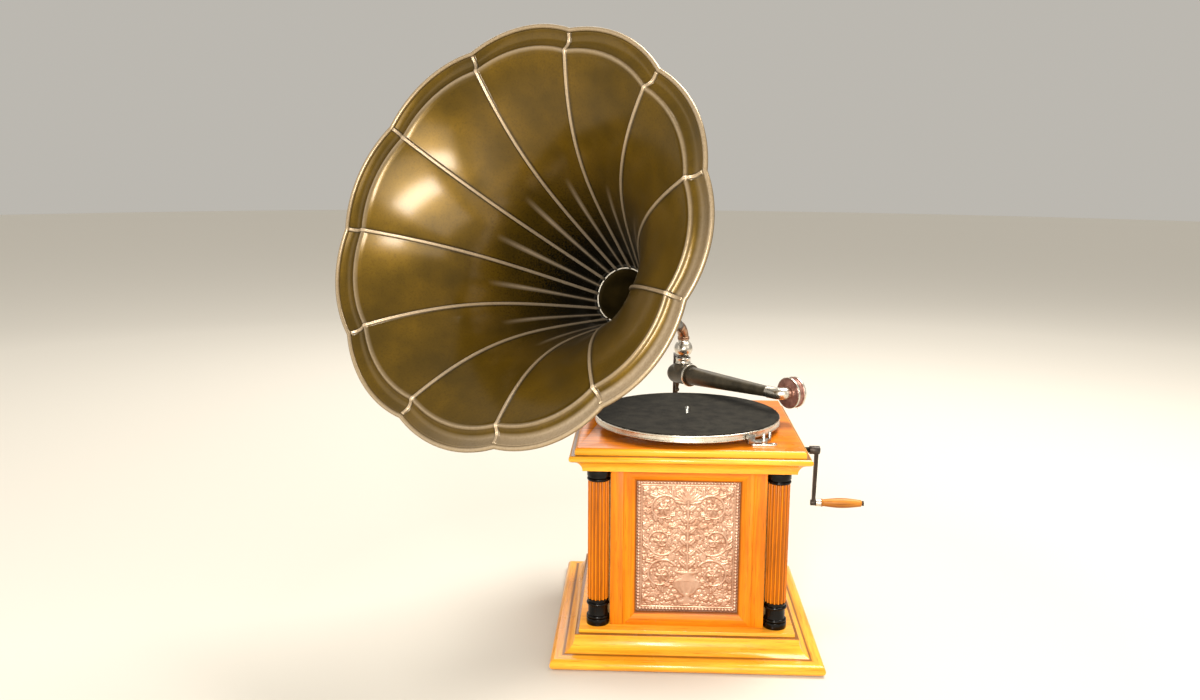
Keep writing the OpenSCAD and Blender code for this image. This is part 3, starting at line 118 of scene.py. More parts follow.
class PanelSettings(bpy.types.PropertyGroup):
    """Sizes of the embossed copper panel."""
    half_width: length("Half width", "Half the width of the opening in the frame", 79.5)
    lap: length("Lap", "How far the sheet laps behind the frame", 5)
    low: length("Lower edge", "Height of the opening's lower edge", 71.5)
    opening_height: length("Opening", "Height of the opening", 213)
    front: length("Front", "Distance of the sheet's face in front of the case's middle", 138)
    thickness: length("Thickness", "Thickness of the panel", 4)
    relief: length("Relief", "Height of the ornament above the sheet", 2.4)


class TurntableSettings(bpy.types.PropertyGroup):
    """Sizes of the platter and its felt."""
    front: length("Front", "Distance of the spindle in front of the case's middle", 22)
    low: length("Underside", "Height of the platter's underside", 353)
    radius: length("Radius", "Radius of the platter", 150)
    rim: length("Rim height", "Height of the platter's rim", 11.5)
    felt: length("Felt", "Thickness of the felt", 1.5)
    felt_radius: length("Felt radius", "Radius of the felt", 148.5)
    bore: length("Bore", "Radius of the hole for the spindle", 4)


class FinishSettings(bpy.types.PropertyGroup):
    """Main colours of the finishes."""
    oak_light: colour("Oak, light", "Light bands of the varnished oak", "#de7c0b")
    oak_dark: colour("Oak, dark", "Dark bands of the varnished oak", "#b25f09")
    oak_pore: colour("Oak, pores", "Open pores of the oak", "#6e3806")
    # A lighter copy of the oak colours, which paints the highlights on the mouldings, the base board and
    # the motor board's edge
    highlit_oak_light: colour("Golden oak, light", "Light bands of the paler mouldings", "#f5ab30")
    highlit_oak_dark: colour("Golden oak, dark", "Dark bands of the paler mouldings", "#d78a1e")
    horn_light: colour("Horn, light", "Light patches of the horn's patina", "#71550c")
    horn_dark: colour("Horn, dark", "Dark patches of the horn's patina", "#3a2d06")
    # Also the colour of the painted highlights on the horn's beads and rim and of the painted reflection on
    # its lip
    horn_bare_and_highlit: colour("Horn, worn", "Bare metal on the horn's seams and edges", "#c4b094")
    copper_high: colour("Copper, raised", "Polished heights of the copper relief", "#c8a38c")
    copper_low: colour("Copper, hollow", "Toned hollows of the copper relief", "#9f745b")
    felt: colour("Felt", "Turntable felt", "#1c1a15")
    floor: colour("Floor", "Studio floor", "#c2beb5")


# Meshes

def grid_faces(rows, cols, wrap_rows, wrap_cols):
    """Quads of a grid of points numbered row by row, joined round where it wraps."""
    i = np.arange(rows if wrap_rows else rows - 1)[:, None]
    j = np.arange(cols if wrap_cols else cols - 1)[None, :]
    below, beside = (i + 1) % rows, (j + 1) % cols
    corners = [i * cols + j, i * cols + beside, below * cols + beside, below * cols + j]
    return np.stack(corners, axis=-1).reshape(-1, 4)


def signed_volume(points, quads):
    """Six times the volume that the quads enclose, a sum of triple products: negative if inside out."""
    a, b, c, d = (points[quads[:, k]] for k in range(4))
    return (np.cross(b - a, c - a) * a).sum() + (np.cross(c - a, d - a) * a).sum()


def make_piece(name, grids, body, material, replaces=(), caps=(), values=None):
    """Makes one mesh from closed grids of points, turns each outwards and lets it ride on a CAD body.

    Each grid is (points of shape rows, columns, 3; rows wrap; columns wrap). A cap is a list of point
    numbers that closes a flat side. values maps an attribute's name to one number for each point.
    """
    points, faces, start = [], [], 0
    for grid, wrap_rows, wrap_cols in grids:
        rows, cols = grid.shape[:2]
        flat = grid.reshape(-1, 3)
        quads = grid_faces(rows, cols, wrap_rows, wrap_cols)
        if signed_volume(flat - flat.mean(0), quads) < 0:
            quads = quads[:, ::-1]
        points.append(flat)
        faces.append(quads + start)
        start += len(flat)
    mesh = bpy.data.meshes.new(name)
    everything = np.concatenate(faces).tolist() + [list(cap) for cap in caps]
    mesh.from_pydata(np.concatenate(points).tolist(), [], everything)
    for key, numbers in (values or {}).items():
        layer = mesh.attributes.new(key, "FLOAT", "POINT")
        layer.data.foreach_set("value", np.asarray(numbers, np.float32).ravel())
    mesh.polygons.foreach_set("use_smooth", np.ones(len(mesh.polygons), bool))
    mesh.update()
    mesh.validate()
    piece = bpy.data.objects.new(name, mesh)
    bpy.context.scene.collection.objects.link(piece)
    mesh.materials.append(material)
    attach(piece, body)
    if replaces:
        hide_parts(*replaces)
    return piece


def joint_line(name):
    """A point on a joint's axis, and the axis's direction, from the CAD part."""
    joint = next(j for j in frame["joints"] if j["name"] == name)
    return np.array(joint["pos_m"]), np.array(joint["axis"])


def revolve(profile, origin, axis, turns=96):
    """A closed profile of (radius, distance along the axis) turned about an axis through origin."""
    along = np.asarray(axis, float) / np.linalg.norm(axis)
    helper = np.array([0.0, 0.0, 1.0]) if abs(along[2]) < 0.9 else np.array([1.0, 0.0, 0.0])
    side = np.cross(helper, along)
    side /= np.linalg.norm(side)
    other = np.cross(along, side)
    turn = np.linspace(0, TURN, turns, endpoint=False)
    ring = np.cos(turn)[:, None] * side + np.sin(turn)[:, None] * other
    radius, height = np.asarray(profile, float).T
    points = np.asarray(origin, float) + radius[:, None, None] * ring + height[:, None, None] * along
    return points, True, True


def rounded(corners, radius, steps=5):
    """A closed profile whose corners are rounded: each corner becomes a quadratic arc of points."""
    corners = np.asarray(corners, float)
    before, after = np.roll(corners, 1, axis=0), np.roll(corners, -1, axis=0)
    reach_in = np.linalg.norm(before - corners, axis=1)
    reach_out = np.linalg.norm(after - corners, axis=1)
    cut = np.minimum(radius, 0.45 * np.minimum(reach_in, reach_out))
    a = corners + (before - corners) * (cut / reach_in)[:, None]
    b = corners + (after - corners) * (cut / reach_out)[:, None]
    t = np.linspace(0, 1, steps)[None, :, None]
    arcs = (1 - t) ** 2 * a[:, None] + 2 * t * (1 - t) * corners[:, None] + t ** 2 * b[:, None]
    return arcs.reshape(-1, 2)


def dress(nodes, material, bevel=0.6):
    """Gives CAD nodes a material, smooth shading and softly rounded edges of bevel millimetres."""
    for name in nodes:
        node = NODES[name]
        node.data.materials.clear()
        node.data.materials.append(material)
        node.data.polygons.foreach_set("use_smooth", np.ones(len(node.data.polygons), bool))
        weld = node.modifiers.new("Weld", "WELD")
        weld.merge_threshold = WELD_GAP
        if bevel:
            edge = node.modifiers.new("Edges", "BEVEL")
            edge.width = bevel * MM
            edge.segments = 2
            edge.limit_method = "ANGLE"
            edge.angle_limit = SHARP_EDGE
            edge.harden_normals = True


# Materials

# Heights of the level quirks in the plinth's and the cornice's mouldings, which are darkened with painted
# shade
QUIRK_HEIGHTS_MM = (19.3, 45.0, 323.0, 333.0)
# Dark brown of the painted shade in the flutes, the quirks and round the front opening
PAINTED_SHADE_BROWN = linear("#4a2205")
# Near black of the horn's dark patina flecks and of its painted shade
DARK_FLECKS_AND_SHADE = linear("#0f0d07")
WARM_WHITE = linear("#fbf6ec")


def per_metre(millimetres):
    """How often a pattern of that many millimetres repeats in a metre, which is a texture's scale."""
    return 1 / (millimetres * MM)


def add_node(tree, kind, inputs=None, **settings):
    """Adds a node, sets its settings, and sets or links its inputs by name or number.

    An input can be a value, a socket, or a node, which is linked from its first socket in use.
    """
    node = tree.nodes.new(kind)
    for key, value in settings.items():
        setattr(node, key, value)
    for key, value in (inputs or {}).items():
        if isinstance(value, bpy.types.Node):
            value = next(socket for socket in value.outputs if socket.enabled)
        if isinstance(value, bpy.types.NodeSocket):
            tree.links.new(value, node.inputs[key])
        else:
            node.inputs[key].default_value = value
    return node


def new_material(name):
    """An empty node material, its tree, and the Object coordinates that its patterns follow."""
    if name in bpy.data.materials:
        raise RuntimeError(f"material {name} is made twice")
    material = bpy.data.materials.new(name)
    material.use_nodes = True
    tree = material.node_tree
    tree.nodes.clear()
    return material, tree, add_node(tree, "ShaderNodeTexCoord").outputs["Object"]


def past(tree, coordinate, centre, reach):
    """How far a coordinate lies past a reach to either side of a centre: |coordinate - centre| - reach."""
    moved = add_node(tree, "ShaderNodeMath", {0: coordinate, 1: centre}, operation="SUBTRACT")
    size = add_node(tree, "ShaderNodeMath", {0: moved}, operation="ABSOLUTE")
    return add_node(tree, "ShaderNodeMath", {0: size, 1: reach}, operation="SUBTRACT")


def grain_run(tree, place, run):
    """Object coordinates turned so that the grain runs along the third one.

    run is x, y or z for a straight board. For mitred work it is (first, second, a, a0, b, b0, c): the
    grain changes from the first to the second run where |a| - a0 is more than |b - c| - b0.
    """
    xyz = add_node(tree, "ShaderNodeSeparateXYZ", {0: place}).outputs
    order = {"x": "YZX", "y": "XZY", "z": "XYZ"}
    straight = [add_node(tree, "ShaderNodeCombineXYZ", {k: xyz[order[way][k]] for k in range(3)})
                for way in run[:2]]
    if len(straight) == 1:
        return straight[0]
    first, first_reach, second, second_reach, centre = run[2:]
    which = add_node(tree, "ShaderNodeMath", {0: past(tree, xyz[first], 0.0, first_reach),
                                              1: past(tree, xyz[second], centre, second_reach)},
                     operation="GREATER_THAN")
    return add_node(tree, "ShaderNodeMix", {0: which, 4: straight[0], 5: straight[1]}, data_type="VECTOR")


def flute_grime(tree, place):
    """Share of painted shade in the columns' flutes: none at the shallow radius, most at the deep one.

    The radius is measured from the nearest of four upright axes at (+-centre, +-centre).
    """
    centre, shallow, deep = 139 * MM, 16.2 * MM, 15.2 * MM
    folded = add_node(tree, "ShaderNodeVectorMath", {0: place}, operation="ABSOLUTE")
    moved = add_node(tree, "ShaderNodeVectorMath", {0: folded, 1: (centre, centre, 0)},
                     operation="SUBTRACT")
    flat = add_node(tree, "ShaderNodeVectorMath", {0: moved, 1: (1, 1, 0)}, operation="MULTIPLY")
    radius = add_node(tree, "ShaderNodeVectorMath", {0: flat}, operation="LENGTH")
    return add_node(tree, "ShaderNodeMapRange", {0: radius, 1: shallow, 2: deep, 3: 0.0, 4: 0.55})


def quirk_grime(tree, place):
    """Share of painted shade in the mouldings' level quirks: most at each height, none from 1.2 mm away."""
    level = add_node(tree, "ShaderNodeSeparateXYZ", {0: place}).outputs["Z"]
    nearest = 1.0
    for height in QUIRK_HEIGHTS_MM:
        gap = past(tree, level, height * MM, 0.0)
        nearest = add_node(tree, "ShaderNodeMath", {0: gap, 1: nearest}, operation="MINIMUM")
    return add_node(tree, "ShaderNodeMapRange", {0: nearest, 1: 0.3 * MM, 2: 1.2 * MM, 3: 0.8, 4: 0.0})


def sight_grime(tree, place):
    """Share of painted shadow along the front frame's inner edge: most at the opening, none 4 mm away.

    The distance from the opening is the larger of those past its half width and past its half height.
    """
    opening = bpy.context.scene.gramophone_panel
    half_height = opening.opening_height / 2
    xyz = add_node(tree, "ShaderNodeSeparateXYZ", {0: place}).outputs
    beside = past(tree, xyz["X"], 0.0, opening.half_width)
    above = past(tree, xyz["Z"], opening.low + half_height, half_height)
    far = add_node(tree, "ShaderNodeMath", {0: beside, 1: above}, operation="MAXIMUM")
    return add_node(tree, "ShaderNodeMapRange", {0: far, 1: 1.0 * MM, 2: 4.0 * MM, 3: 0.8, 4: 0.0})


def painted_edge_highlight(tree, place):
    """Share of painted highlight on the motor board's edge: none on its flat top, most 2.5 mm below it."""
    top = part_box("motor_board")[1].z
    level = add_node(tree, "ShaderNodeSeparateXYZ", {0: place}).outputs["Z"]
    return add_node(tree, "ShaderNodeMapRange", {0: level, 1: top - 2.5 * MM, 2: top - 0.2 * MM,
                                                 3: 0.85, 4: 0.0})


def varnished_oak(name, run, light, dark, pore, gloss=0.3, coat=0.06, grime=None, stain=PAINTED_SHADE_BROWN):
    """Varnished oak, planed and polished: soft bands, fine open pores along the grain, a clear coat.

    The optional function takes the node tree and its coordinates and gives the share at a point of painted
    light, in the last colour: painted shade in a dark brown in the flutes, the quirks and round the
    opening, and a painted highlight in lighter oak on the motor board's edge.
    """
    # Real pores are about 0.3 mm wide; they are drawn coarse enough to show
    band_mm, band_run_mm, pore_mm, pore_run_mm, patch_mm = 9.0, 190.0, 1.1, 26.0, 110.0
    material, tree, place = new_material(name)
    grain = grain_run(tree, place, run)
    band_scale = [per_metre(mm) for mm in (band_mm, band_mm, band_run_mm)]
    bands = add_node(tree, "ShaderNodeVectorMath", {0: grain, 1: band_scale}, operation="MULTIPLY")
    streak = add_node(tree, "ShaderNodeTexNoise", {"Vector": bands, "Scale": 1.0, "Detail": 4.0,
                                                  "Roughness": 0.62, "Distortion": 0.8})
    pore_scale = [per_metre(mm) for mm in (pore_mm, pore_mm, pore_run_mm)]
    pores = add_node(tree, "ShaderNodeVectorMath", {0: grain, 1: pore_scale}, operation="MULTIPLY")
    fine = add_node(tree, "ShaderNodeTexNoise", {"Vector": pores, "Scale": 1.0, "Detail": 2.0})
    broad = add_node(tree, "ShaderNodeTexNoise", {"Vector": grain, "Scale": per_metre(patch_mm),
                                                  "Detail": 2.0})
    level = add_node(tree, "ShaderNodeMapRange", {0: streak, 1: 0.32, 2: 0.68})
    drift = add_node(tree, "ShaderNodeMapRange", {0: broad, 1: 0.3, 2: 0.7, 3: -0.25, 4: 0.25})
    share = add_node(tree, "ShaderNodeMath", {0: level, 1: drift}, operation="ADD", use_clamp=True)
    tone = add_node(tree, "ShaderNodeMix", {0: share, 6: dark, 7: light}, data_type="RGBA")
    open_pore = add_node(tree, "ShaderNodeMapRange", {0: fine, 1: 0.58, 2: 0.75, 3: 0.0, 4: 0.55})
    shown = add_node(tree, "ShaderNodeMix", {0: open_pore, 6: tone, 7: pore}, data_type="RGBA")
    # Painted light: painted shade in the flutes, quirks and round the opening, painted highlight on the
    # motor board's edge
    if grime:
        stained = grime(tree, place)
        shown = add_node(tree, "ShaderNodeMix", {0: stained, 6: shown, 7: stain}, data_type="RGBA")
    rough = add_node(tree, "ShaderNodeMapRange", {0: broad, 1: 0.3, 2: 0.7, 3: gloss, 4: gloss + 0.14})
    bump = add_node(tree, "ShaderNodeBump", {"Strength": 0.25, "Distance": 0.15 * MM, "Height": streak})
    shader = add_node(tree, "ShaderNodeBsdfPrincipled", {
        "Base Color": shown, "Roughness": rough, "Normal": bump, "Specular IOR Level": 0.16,
        "Coat Weight": coat, "Coat Roughness": 0.16})
    add_node(tree, "ShaderNodeOutputMaterial", {"Surface": shader})
    return material


def metal(name, light, dark, roughness, patch_mm, scratch=0.0, metallic=1.0, bump_mm=0.0, coat=0.0):
    """A metal whose colour and gloss drift in patches, with fine random scratches in its gloss."""
    # Real scratches are finer than a hair; they are drawn coarse enough to show
    grit_mm, least_roughness = 1.6, 0.05
    spread = 0.06 + scratch
    material, tree, place = new_material(name)
    patches = add_node(tree, "ShaderNodeTexNoise", {"Vector": place, "Scale": per_metre(patch_mm),
                                                    "Detail": 5.0, "Roughness": 0.6})
    grit = add_node(tree, "ShaderNodeTexNoise", {"Vector": place, "Scale": per_metre(grit_mm),
                                                 "Detail": 3.0})
    share = add_node(tree, "ShaderNodeMapRange", {0: patches, 1: 0.32, 2: 0.68})
    shown = add_node(tree, "ShaderNodeMix", {0: share, 6: linear(dark), 7: linear(light)}, data_type="RGBA")
    wear = add_node(tree, "ShaderNodeMix", {0: 0.5, 2: patches, 3: grit})
    rough = add_node(tree, "ShaderNodeMapRange", {0: wear, 1: 0.35, 2: 0.65,
                                                  3: max(roughness - spread, least_roughness),
                                                  4: roughness + spread})
    settings = {"Base Color": shown, "Roughness": rough, "Metallic": metallic,
                "Coat Weight": coat, "Coat Roughness": 0.2}
    if bump_mm:
        settings["Normal"] = add_node(tree, "ShaderNodeBump", {
            "Strength": 0.6, "Distance": bump_mm * MM, "Height": grit})
    shader = add_node(tree, "ShaderNodeBsdfPrincipled", settings)
    add_node(tree, "ShaderNodeOutputMaterial", {"Surface": shader})
    return material


def patinated_horn(name, finish):
    """Sheet steel under old lacquer: mottled olive brown, bare on rubbed seams with painted highlights
    there, a painted reflection on the lip, and painted shade in the throat and beside the seams.
    """
    cloud_mm, speck_mm = 55.0, 3.0
    material, tree, place = new_material(name)
    cloud = add_node(tree, "ShaderNodeTexNoise", {"Vector": place, "Scale": per_metre(cloud_mm),
                                                  "Detail": 2.0, "Roughness": 0.5})
    speck = add_node(tree, "ShaderNodeTexNoise", {"Vector": place, "Scale": per_metre(speck_mm),
                                                  "Detail": 3.0, "Roughness": 0.6})
    # worn: bare metal on the seams, also painting highlights on the beads and rim and a reflection on the
    # lip
    worn = add_node(tree, "ShaderNodeAttribute", attribute_name="worn").outputs["Fac"]
    # deep: painted shade toward the throat and painted shadow beside the seams
    deep = add_node(tree, "ShaderNodeAttribute", attribute_name="deep").outputs["Fac"]
    mixed = add_node(tree, "ShaderNodeMix", {0: 0.45, 2: cloud, 3: speck})
    share = add_node(tree, "ShaderNodeMapRange", {0: mixed, 1: 0.2, 2: 0.8})
    tone = add_node(tree, "ShaderNodeMix", {0: share, 6: finish.horn_dark, 7: finish.horn_light},
                    data_type="RGBA")
    fleck = add_node(tree, "ShaderNodeMapRange", {0: speck, 1: 0.42, 2: 0.7, 3: 0.0, 4: 0.42})
    # Dark patina flecks, plus the painted shade from the deep attribute
    grime = add_node(tree, "ShaderNodeMath", {0: fleck, 1: deep}, operation="ADD", use_clamp=True)
    mottled = add_node(tree, "ShaderNodeMix", {0: grime, 6: tone, 7: DARK_FLECKS_AND_SHADE}, data_type="RGBA")
    rubbed = add_node(tree, "ShaderNodeMapRange", {0: speck, 1: 0.25, 2: 0.6, 3: 0.7, 4: 1.0})
    # Bare metal, which also stands for painted highlights and a painted reflection
    bare = add_node(tree, "ShaderNodeMath", {0: worn, 1: rubbed}, operation="MULTIPLY", use_clamp=True)
    shown = add_node(tree, "ShaderNodeMix", {0: bare, 6: mottled, 7: finish.horn_bare_and_highlit}, data_type="RGBA")
    rough = add_node(tree, "ShaderNodeMapRange", {0: cloud, 1: 0.3, 2: 0.7, 3: 0.28, 4: 0.4})
    bump = add_node(tree, "ShaderNodeBump", {"Strength": 0.3, "Distance": 0.1 * MM, "Height": speck})
    shader = add_node(tree, "ShaderNodeBsdfPrincipled", {
        "Base Color": shown, "Roughness": rough, "Metallic": 0.5, "Normal": bump,
        "Specular IOR Level": 0.05, "Coat Weight": 0.5, "Coat Roughness": 0.17})
    add_node(tree, "ShaderNodeOutputMaterial", {"Surface": shader})
    return material


def embossed_copper(name, finish):
    """Silvered copper sheet, stamped: bright heights, toned hollows and a fine stippled skin."""
    stipple_mm, patch_mm = 1.4, 28.0
    material, tree, place = new_material(name)
    stipple = add_node(tree, "ShaderNodeTexNoise", {"Vector": place, "Scale": per_metre(stipple_mm),
                                                    "Detail": 3.0})
    patches = add_node(tree, "ShaderNodeTexNoise", {"Vector": place, "Scale": per_metre(patch_mm),
                                                    "Detail": 3.0})
    height = add_node(tree, "ShaderNodeAttribute", attribute_name="relief").outputs["Fac"]
    drift = add_node(tree, "ShaderNodeMapRange", {0: patches, 1: 0.3, 2: 0.7, 3: -0.35, 4: 0.35})
    share = add_node(tree, "ShaderNodeMath", {0: height, 1: drift}, operation="ADD", use_clamp=True)
    shown = add_node(tree, "ShaderNodeMix", {0: share, 6: finish.copper_low, 7: finish.copper_high},
                     data_type="RGBA")
    rough = add_node(tree, "ShaderNodeMapRange", {0: share, 3: 0.55, 4: 0.4})
    bump = add_node(tree, "ShaderNodeBump", {"Strength": 0.35, "Distance": 0.2 * MM, "Height": stipple})
    shader = add_node(tree, "ShaderNodeBsdfPrincipled", {
        "Base Color": shown, "Roughness": rough, "Metallic": 0.9, "Normal": bump})
    add_node(tree, "ShaderNodeOutputMaterial", {"Surface": shader})
    return material


def wool_felt(name, shade):
    """Pressed wool felt: matt, clouded by wear, with a fine tangle of fibres and a soft sheen."""
    # Real fibres are about 0.03 mm thick; their tangle is drawn coarse enough to show
    fibre_mm, cloud_mm = 2.2, 18.0
    pale = tuple(min(1.0, 2.2 * c) for c in shade[:3]) + (1.0,)
    deep = tuple(0.4 * c for c in shade[:3]) + (1.0,)
    material, tree, place = new_material(name)
    fibre = add_node(tree, "ShaderNodeTexNoise", {"Vector": place, "Scale": per_metre(fibre_mm),
                                                  "Detail": 4.0, "Roughness": 0.7, "Distortion": 1.5})
    cloud = add_node(tree, "ShaderNodeTexNoise", {"Vector": place, "Scale": per_metre(cloud_mm),
                                                  "Detail": 4.0})
    mixed = add_node(tree, "ShaderNodeMix", {0: 0.4, 2: fibre, 3: cloud})
    share = add_node(tree, "ShaderNodeMapRange", {0: mixed, 1: 0.4, 2: 0.62})
    shown = add_node(tree, "ShaderNodeMix", {0: share, 6: deep, 7: pale}, data_type="RGBA")
    bump = add_node(tree, "ShaderNodeBump", {"Strength": 0.5, "Distance": 0.3 * MM, "Height": fibre})
    shader = add_node(tree, "ShaderNodeBsdfPrincipled", {
        "Base Color": shown, "Roughness": 0.95, "Normal": bump, "Sheen Weight": 0.03,
        "Sheen Roughness": 0.5, "Specular IOR Level": 0.08})
    add_node(tree, "ShaderNodeOutputMaterial", {"Surface": shader})
    return material


def clear_mica(name):
    """A thin sheet of mica: amber, half clear, with cloudy flaws."""
    flaw_mm = 6.0
    amber, straw = linear("#c8a874"), linear("#efe2c2")
    material, tree, place = new_material(name)
    flaw = add_node(tree, "ShaderNodeTexNoise", {"Vector": place, "Scale": per_metre(flaw_mm),
                                                 "Detail": 4.0})
    shown = add_node(tree, "ShaderNodeMix", {0: flaw, 6: amber, 7: straw}, data_type="RGBA")
    shader = add_node(tree, "ShaderNodeBsdfPrincipled", {
        "Base Color": shown, "Roughness": 0.15, "Transmission Weight": 0.4, "IOR": 1.58})
    add_node(tree, "ShaderNodeOutputMaterial", {"Surface": shader})
    return material


def matt_skin(name, light, dark, roughness, patch_mm, coat=0.0):
    """A non-metal skin such as ebonised lacquer or rubber, its tone and gloss drifting in patches."""
    material, tree, place = new_material(name)
    patches = add_node(tree, "ShaderNodeTexNoise", {"Vector": place, "Scale": per_metre(patch_mm),
                                                    "Detail": 5.0, "Roughness": 0.65})
    share = add_node(tree, "ShaderNodeMapRange", {0: patches, 1: 0.35, 2: 0.65})
    shown = add_node(tree, "ShaderNodeMix", {0: share, 6: linear(dark), 7: linear(light)}, data_type="RGBA")
    rough = add_node(tree, "ShaderNodeMapRange", {0: patches, 1: 0.3, 2: 0.7,
                                                  3: max(roughness - 0.05, 0.04), 4: roughness + 0.07})
    bump = add_node(tree, "ShaderNodeBump", {"Strength": 0.15, "Distance": 0.2 * MM, "Height": patches})
    shader = add_node(tree, "ShaderNodeBsdfPrincipled", {
        "Base Color": shown, "Roughness": rough, "Normal": bump, "Specular IOR Level": 0.1,
        "Coat Weight": coat, "Coat Roughness": 0.08})
    add_node(tree, "ShaderNodeOutputMaterial", {"Surface": shader})
    return material


def matt_paper(name, pale):
    """Matt studio paper: pale near the object, fading to warm white far away."""
    near, far = 0.7, 3.5
    material, tree, place = new_material(name)
    reach = add_node(tree, "ShaderNodeVectorMath", {0: place}, operation="LENGTH")
    fade = add_node(tree, "ShaderNodeMapRange", {0: reach, 1: near, 2: far})
    shown = add_node(tree, "ShaderNodeMix", {0: fade, 6: pale, 7: WARM_WHITE}, data_type="RGBA")
    shader = add_node(tree, "ShaderNodeBsdfPrincipled", {
        "Base Color": shown, "Roughness": 0.85, "Specular IOR Level": 0.2})
    add_node(tree, "ShaderNodeOutputMaterial", {"Surface": shader})
    return material


def shared(name, maker, *arguments, **settings):
    """The material of that name, made on first use."""
    return bpy.data.materials.get(name) or maker(name, *arguments, **settings)


def nickel():
    """Nickel plate, polished and a little yellowed with age."""
    return shared("nickel_plate", metal, "#e2dccf", "#c4bbad", 0.27, 18, scratch=0.01)


def steel():
    """Machined steel, bright and faintly scratched."""
    return shared("machined_steel", metal, "#b4b3ae", "#85847f", 0.3, 12, scratch=0.05)


def brass():
    """Machined brass, warm and lightly tarnished."""
    return shared("machined_brass", metal, "#c9a04e", "#93702f", 0.3, 14, scratch=0.05)


def iron():
    """Cast iron under old black enamel, with a grainy skin."""
    return shared("enamelled_iron", metal, "#463c33", "#241d18", 0.42, 9, metallic=0.5, bump_mm=0.15)


def bronzed():
    """Dark bronzed steel tube, olive brown with soft lights."""
    return shared("bronzed_steel", metal, "#564d3c", "#342e22", 0.42, 24, metallic=0.6, coat=0.1)


def oak(run_name, run, grime=None):
    """Varnished oak with the grain run that a board needs."""
    finish = bpy.context.scene.gramophone_finish
    return shared("varnished_oak_" + run_name, varnished_oak, run, finish.oak_light, finish.oak_dark,
                  finish.oak_pore, grime=grime)


def highlit_oak(run_name, run):
    """A lighter, yellow copy of the oak for the mouldings and boards, painting their highlights; glossy,
    with painted shade in the mouldings' quirks.
    """
    finish = bpy.context.scene.gramophone_finish
    return shared("golden_oak_" + run_name, varnished_oak, run, finish.highlit_oak_light, finish.highlit_oak_dark,
                  finish.oak_pore, gloss=0.24, coat=0.5, grime=quirk_grime)


# Pieces

class GRAMOPHONE_OT_case(bpy.types.Operator):
    """Dress the oak case: boards, mitred mouldings, panel frames and the hidden posts"""
    bl_idname = "gramophone.case"
    bl_label = "Oak case"

    def execute(self, context):
        """The grain follows each board, and turns at the mitre of a moulding or a frame."""
        half_width, half_height, middle = 100 * MM, 127 * MM, 178 * MM
        plan = ("x", "y", "X", 0.0, "Y", 0.0, 0.0)
        front = ("x", "z", "X", half_width, "Z", half_height, middle)
        flank = ("y", "z", "Y", half_width, "Z", half_height, middle)
        # The mouldings and the base board take the lighter oak, a painted highlight
        dress(["plinth_moulding", "cornice_moulding"], highlit_oak("mitred", plan), bevel=0.5)
        dress(["base_board"], highlit_oak("across", "x"), bevel=0.6)
        finish = context.scene.gramophone_finish
        # The motor board's edge gets a painted highlight in the lighter oak colour
        board = shared("rubbed_oak_board", varnished_oak, "x", finish.oak_light, finish.oak_dark,
                       finish.oak_pore, gloss=0.24, coat=0.3, grime=painted_edge_highlight, stain=finish.highlit_oak_light)
        dress(["motor_board"], board, bevel=0.6)
        dress(["stiles", "back_board"], oak("upright", "z"), bevel=0.8)
        # The front frame gets a painted shadow round the opening
        dress(["front_panel_frame"], oak("front_frame", front, sight_grime), bevel=0.5)
        dress(["side_panel_frames"], oak("side_frame", flank), bevel=0.5)
        dress(["side_panels"], oak("upright", "z"), bevel=0.3)
        pine = shared("bare_pine", varnished_oak, "x", linear("#d8b680"), linear("#b98f57"),
                      linear("#80592c"), gloss=0.55)
        dress(["bottom_board", "corner_posts"], pine, bevel=0.5)
        return {"FINISHED"}


class GRAMOPHONE_OT_columns(bpy.types.Operator):
    """Dress the fluted columns with their ebonised capitals and bases"""
    bl_idname = "gramophone.columns"
    bl_label = "Columns"

    def execute(self, context):
        """The shafts are oak with painted shade in the flutes; the turned ends are polished black."""
        dress(["column_shafts"], oak("fluted", "z", flute_grime), bevel=0.25)
        black = shared("ebonised_lacquer", matt_skin, "#0a0604", "#040302", 0.2, 20, coat=0.2)
        dress(["column_capitals", "column_bases"], black, bevel=0.5)
        return {"FINISHED"}


# The panel's ornament, in millimetres from the middle line and from the opening's lower edge.
# A scroll has a centre, a reach, a starting turn and a hand. A blossom has a centre and a reach.
SCROLLS = ((40, 60, 27, 2.5, -1), (42, 116, 26, 3.6, 1), (38, 168, 24, 2.6, -1))
BLOSSOMS = ((68, 22, 7.5), (52, 17, 5), (30, 20, 5), (70, 88, 6), (69, 142, 6), (66, 196, 7.5),
            (22, 139, 5), (21, 92, 4.5), (68, 40, 4.5), (14, 205, 4.5))
STEM_LOW, STEM_HIGH, STEM_HALF = 64, 196, 2.4
STEM_LEAF_HEIGHTS = (74, 92, 110, 128, 146, 164, 180)
CROWN_HEIGHT, CROWN_TURNS = 178, (1.57, 1.1, 0.65, 0.2)
URN_FOOT, URN_HEIGHT = 14, 52


def half_round(share):
    """Height of a half circle at a share of its radius: the root of 1 - share squared, none past 1."""
    return np.sqrt(np.clip(1 - share ** 2, 0, 1))


def spiral(cx, cz, reach, start, hand):
    """Points of a scroll that winds in from reach, shrinking evenly, each with its stem's half width."""
    turns, thick = 1.35, 2.7
    t = np.linspace(0, 1, 90)
    radius = reach * (1 - 0.82 * t)
    turn = start + hand * TURN * turns * t
    return np.stack([cx + radius * np.cos(turn), cz + radius * np.sin(turn), thick * (1 - 0.55 * t)],
                    axis=1)


def stem_height(x, z, path):
    """Height of a round stem: a half circle over the least distance to its path, in stem widths."""
    nearest = np.full(x.shape, np.inf)
    for px, pz, half in path:
        nearest = np.minimum(nearest, np.hypot(x - px, z - pz) / half)
    return half_round(nearest)


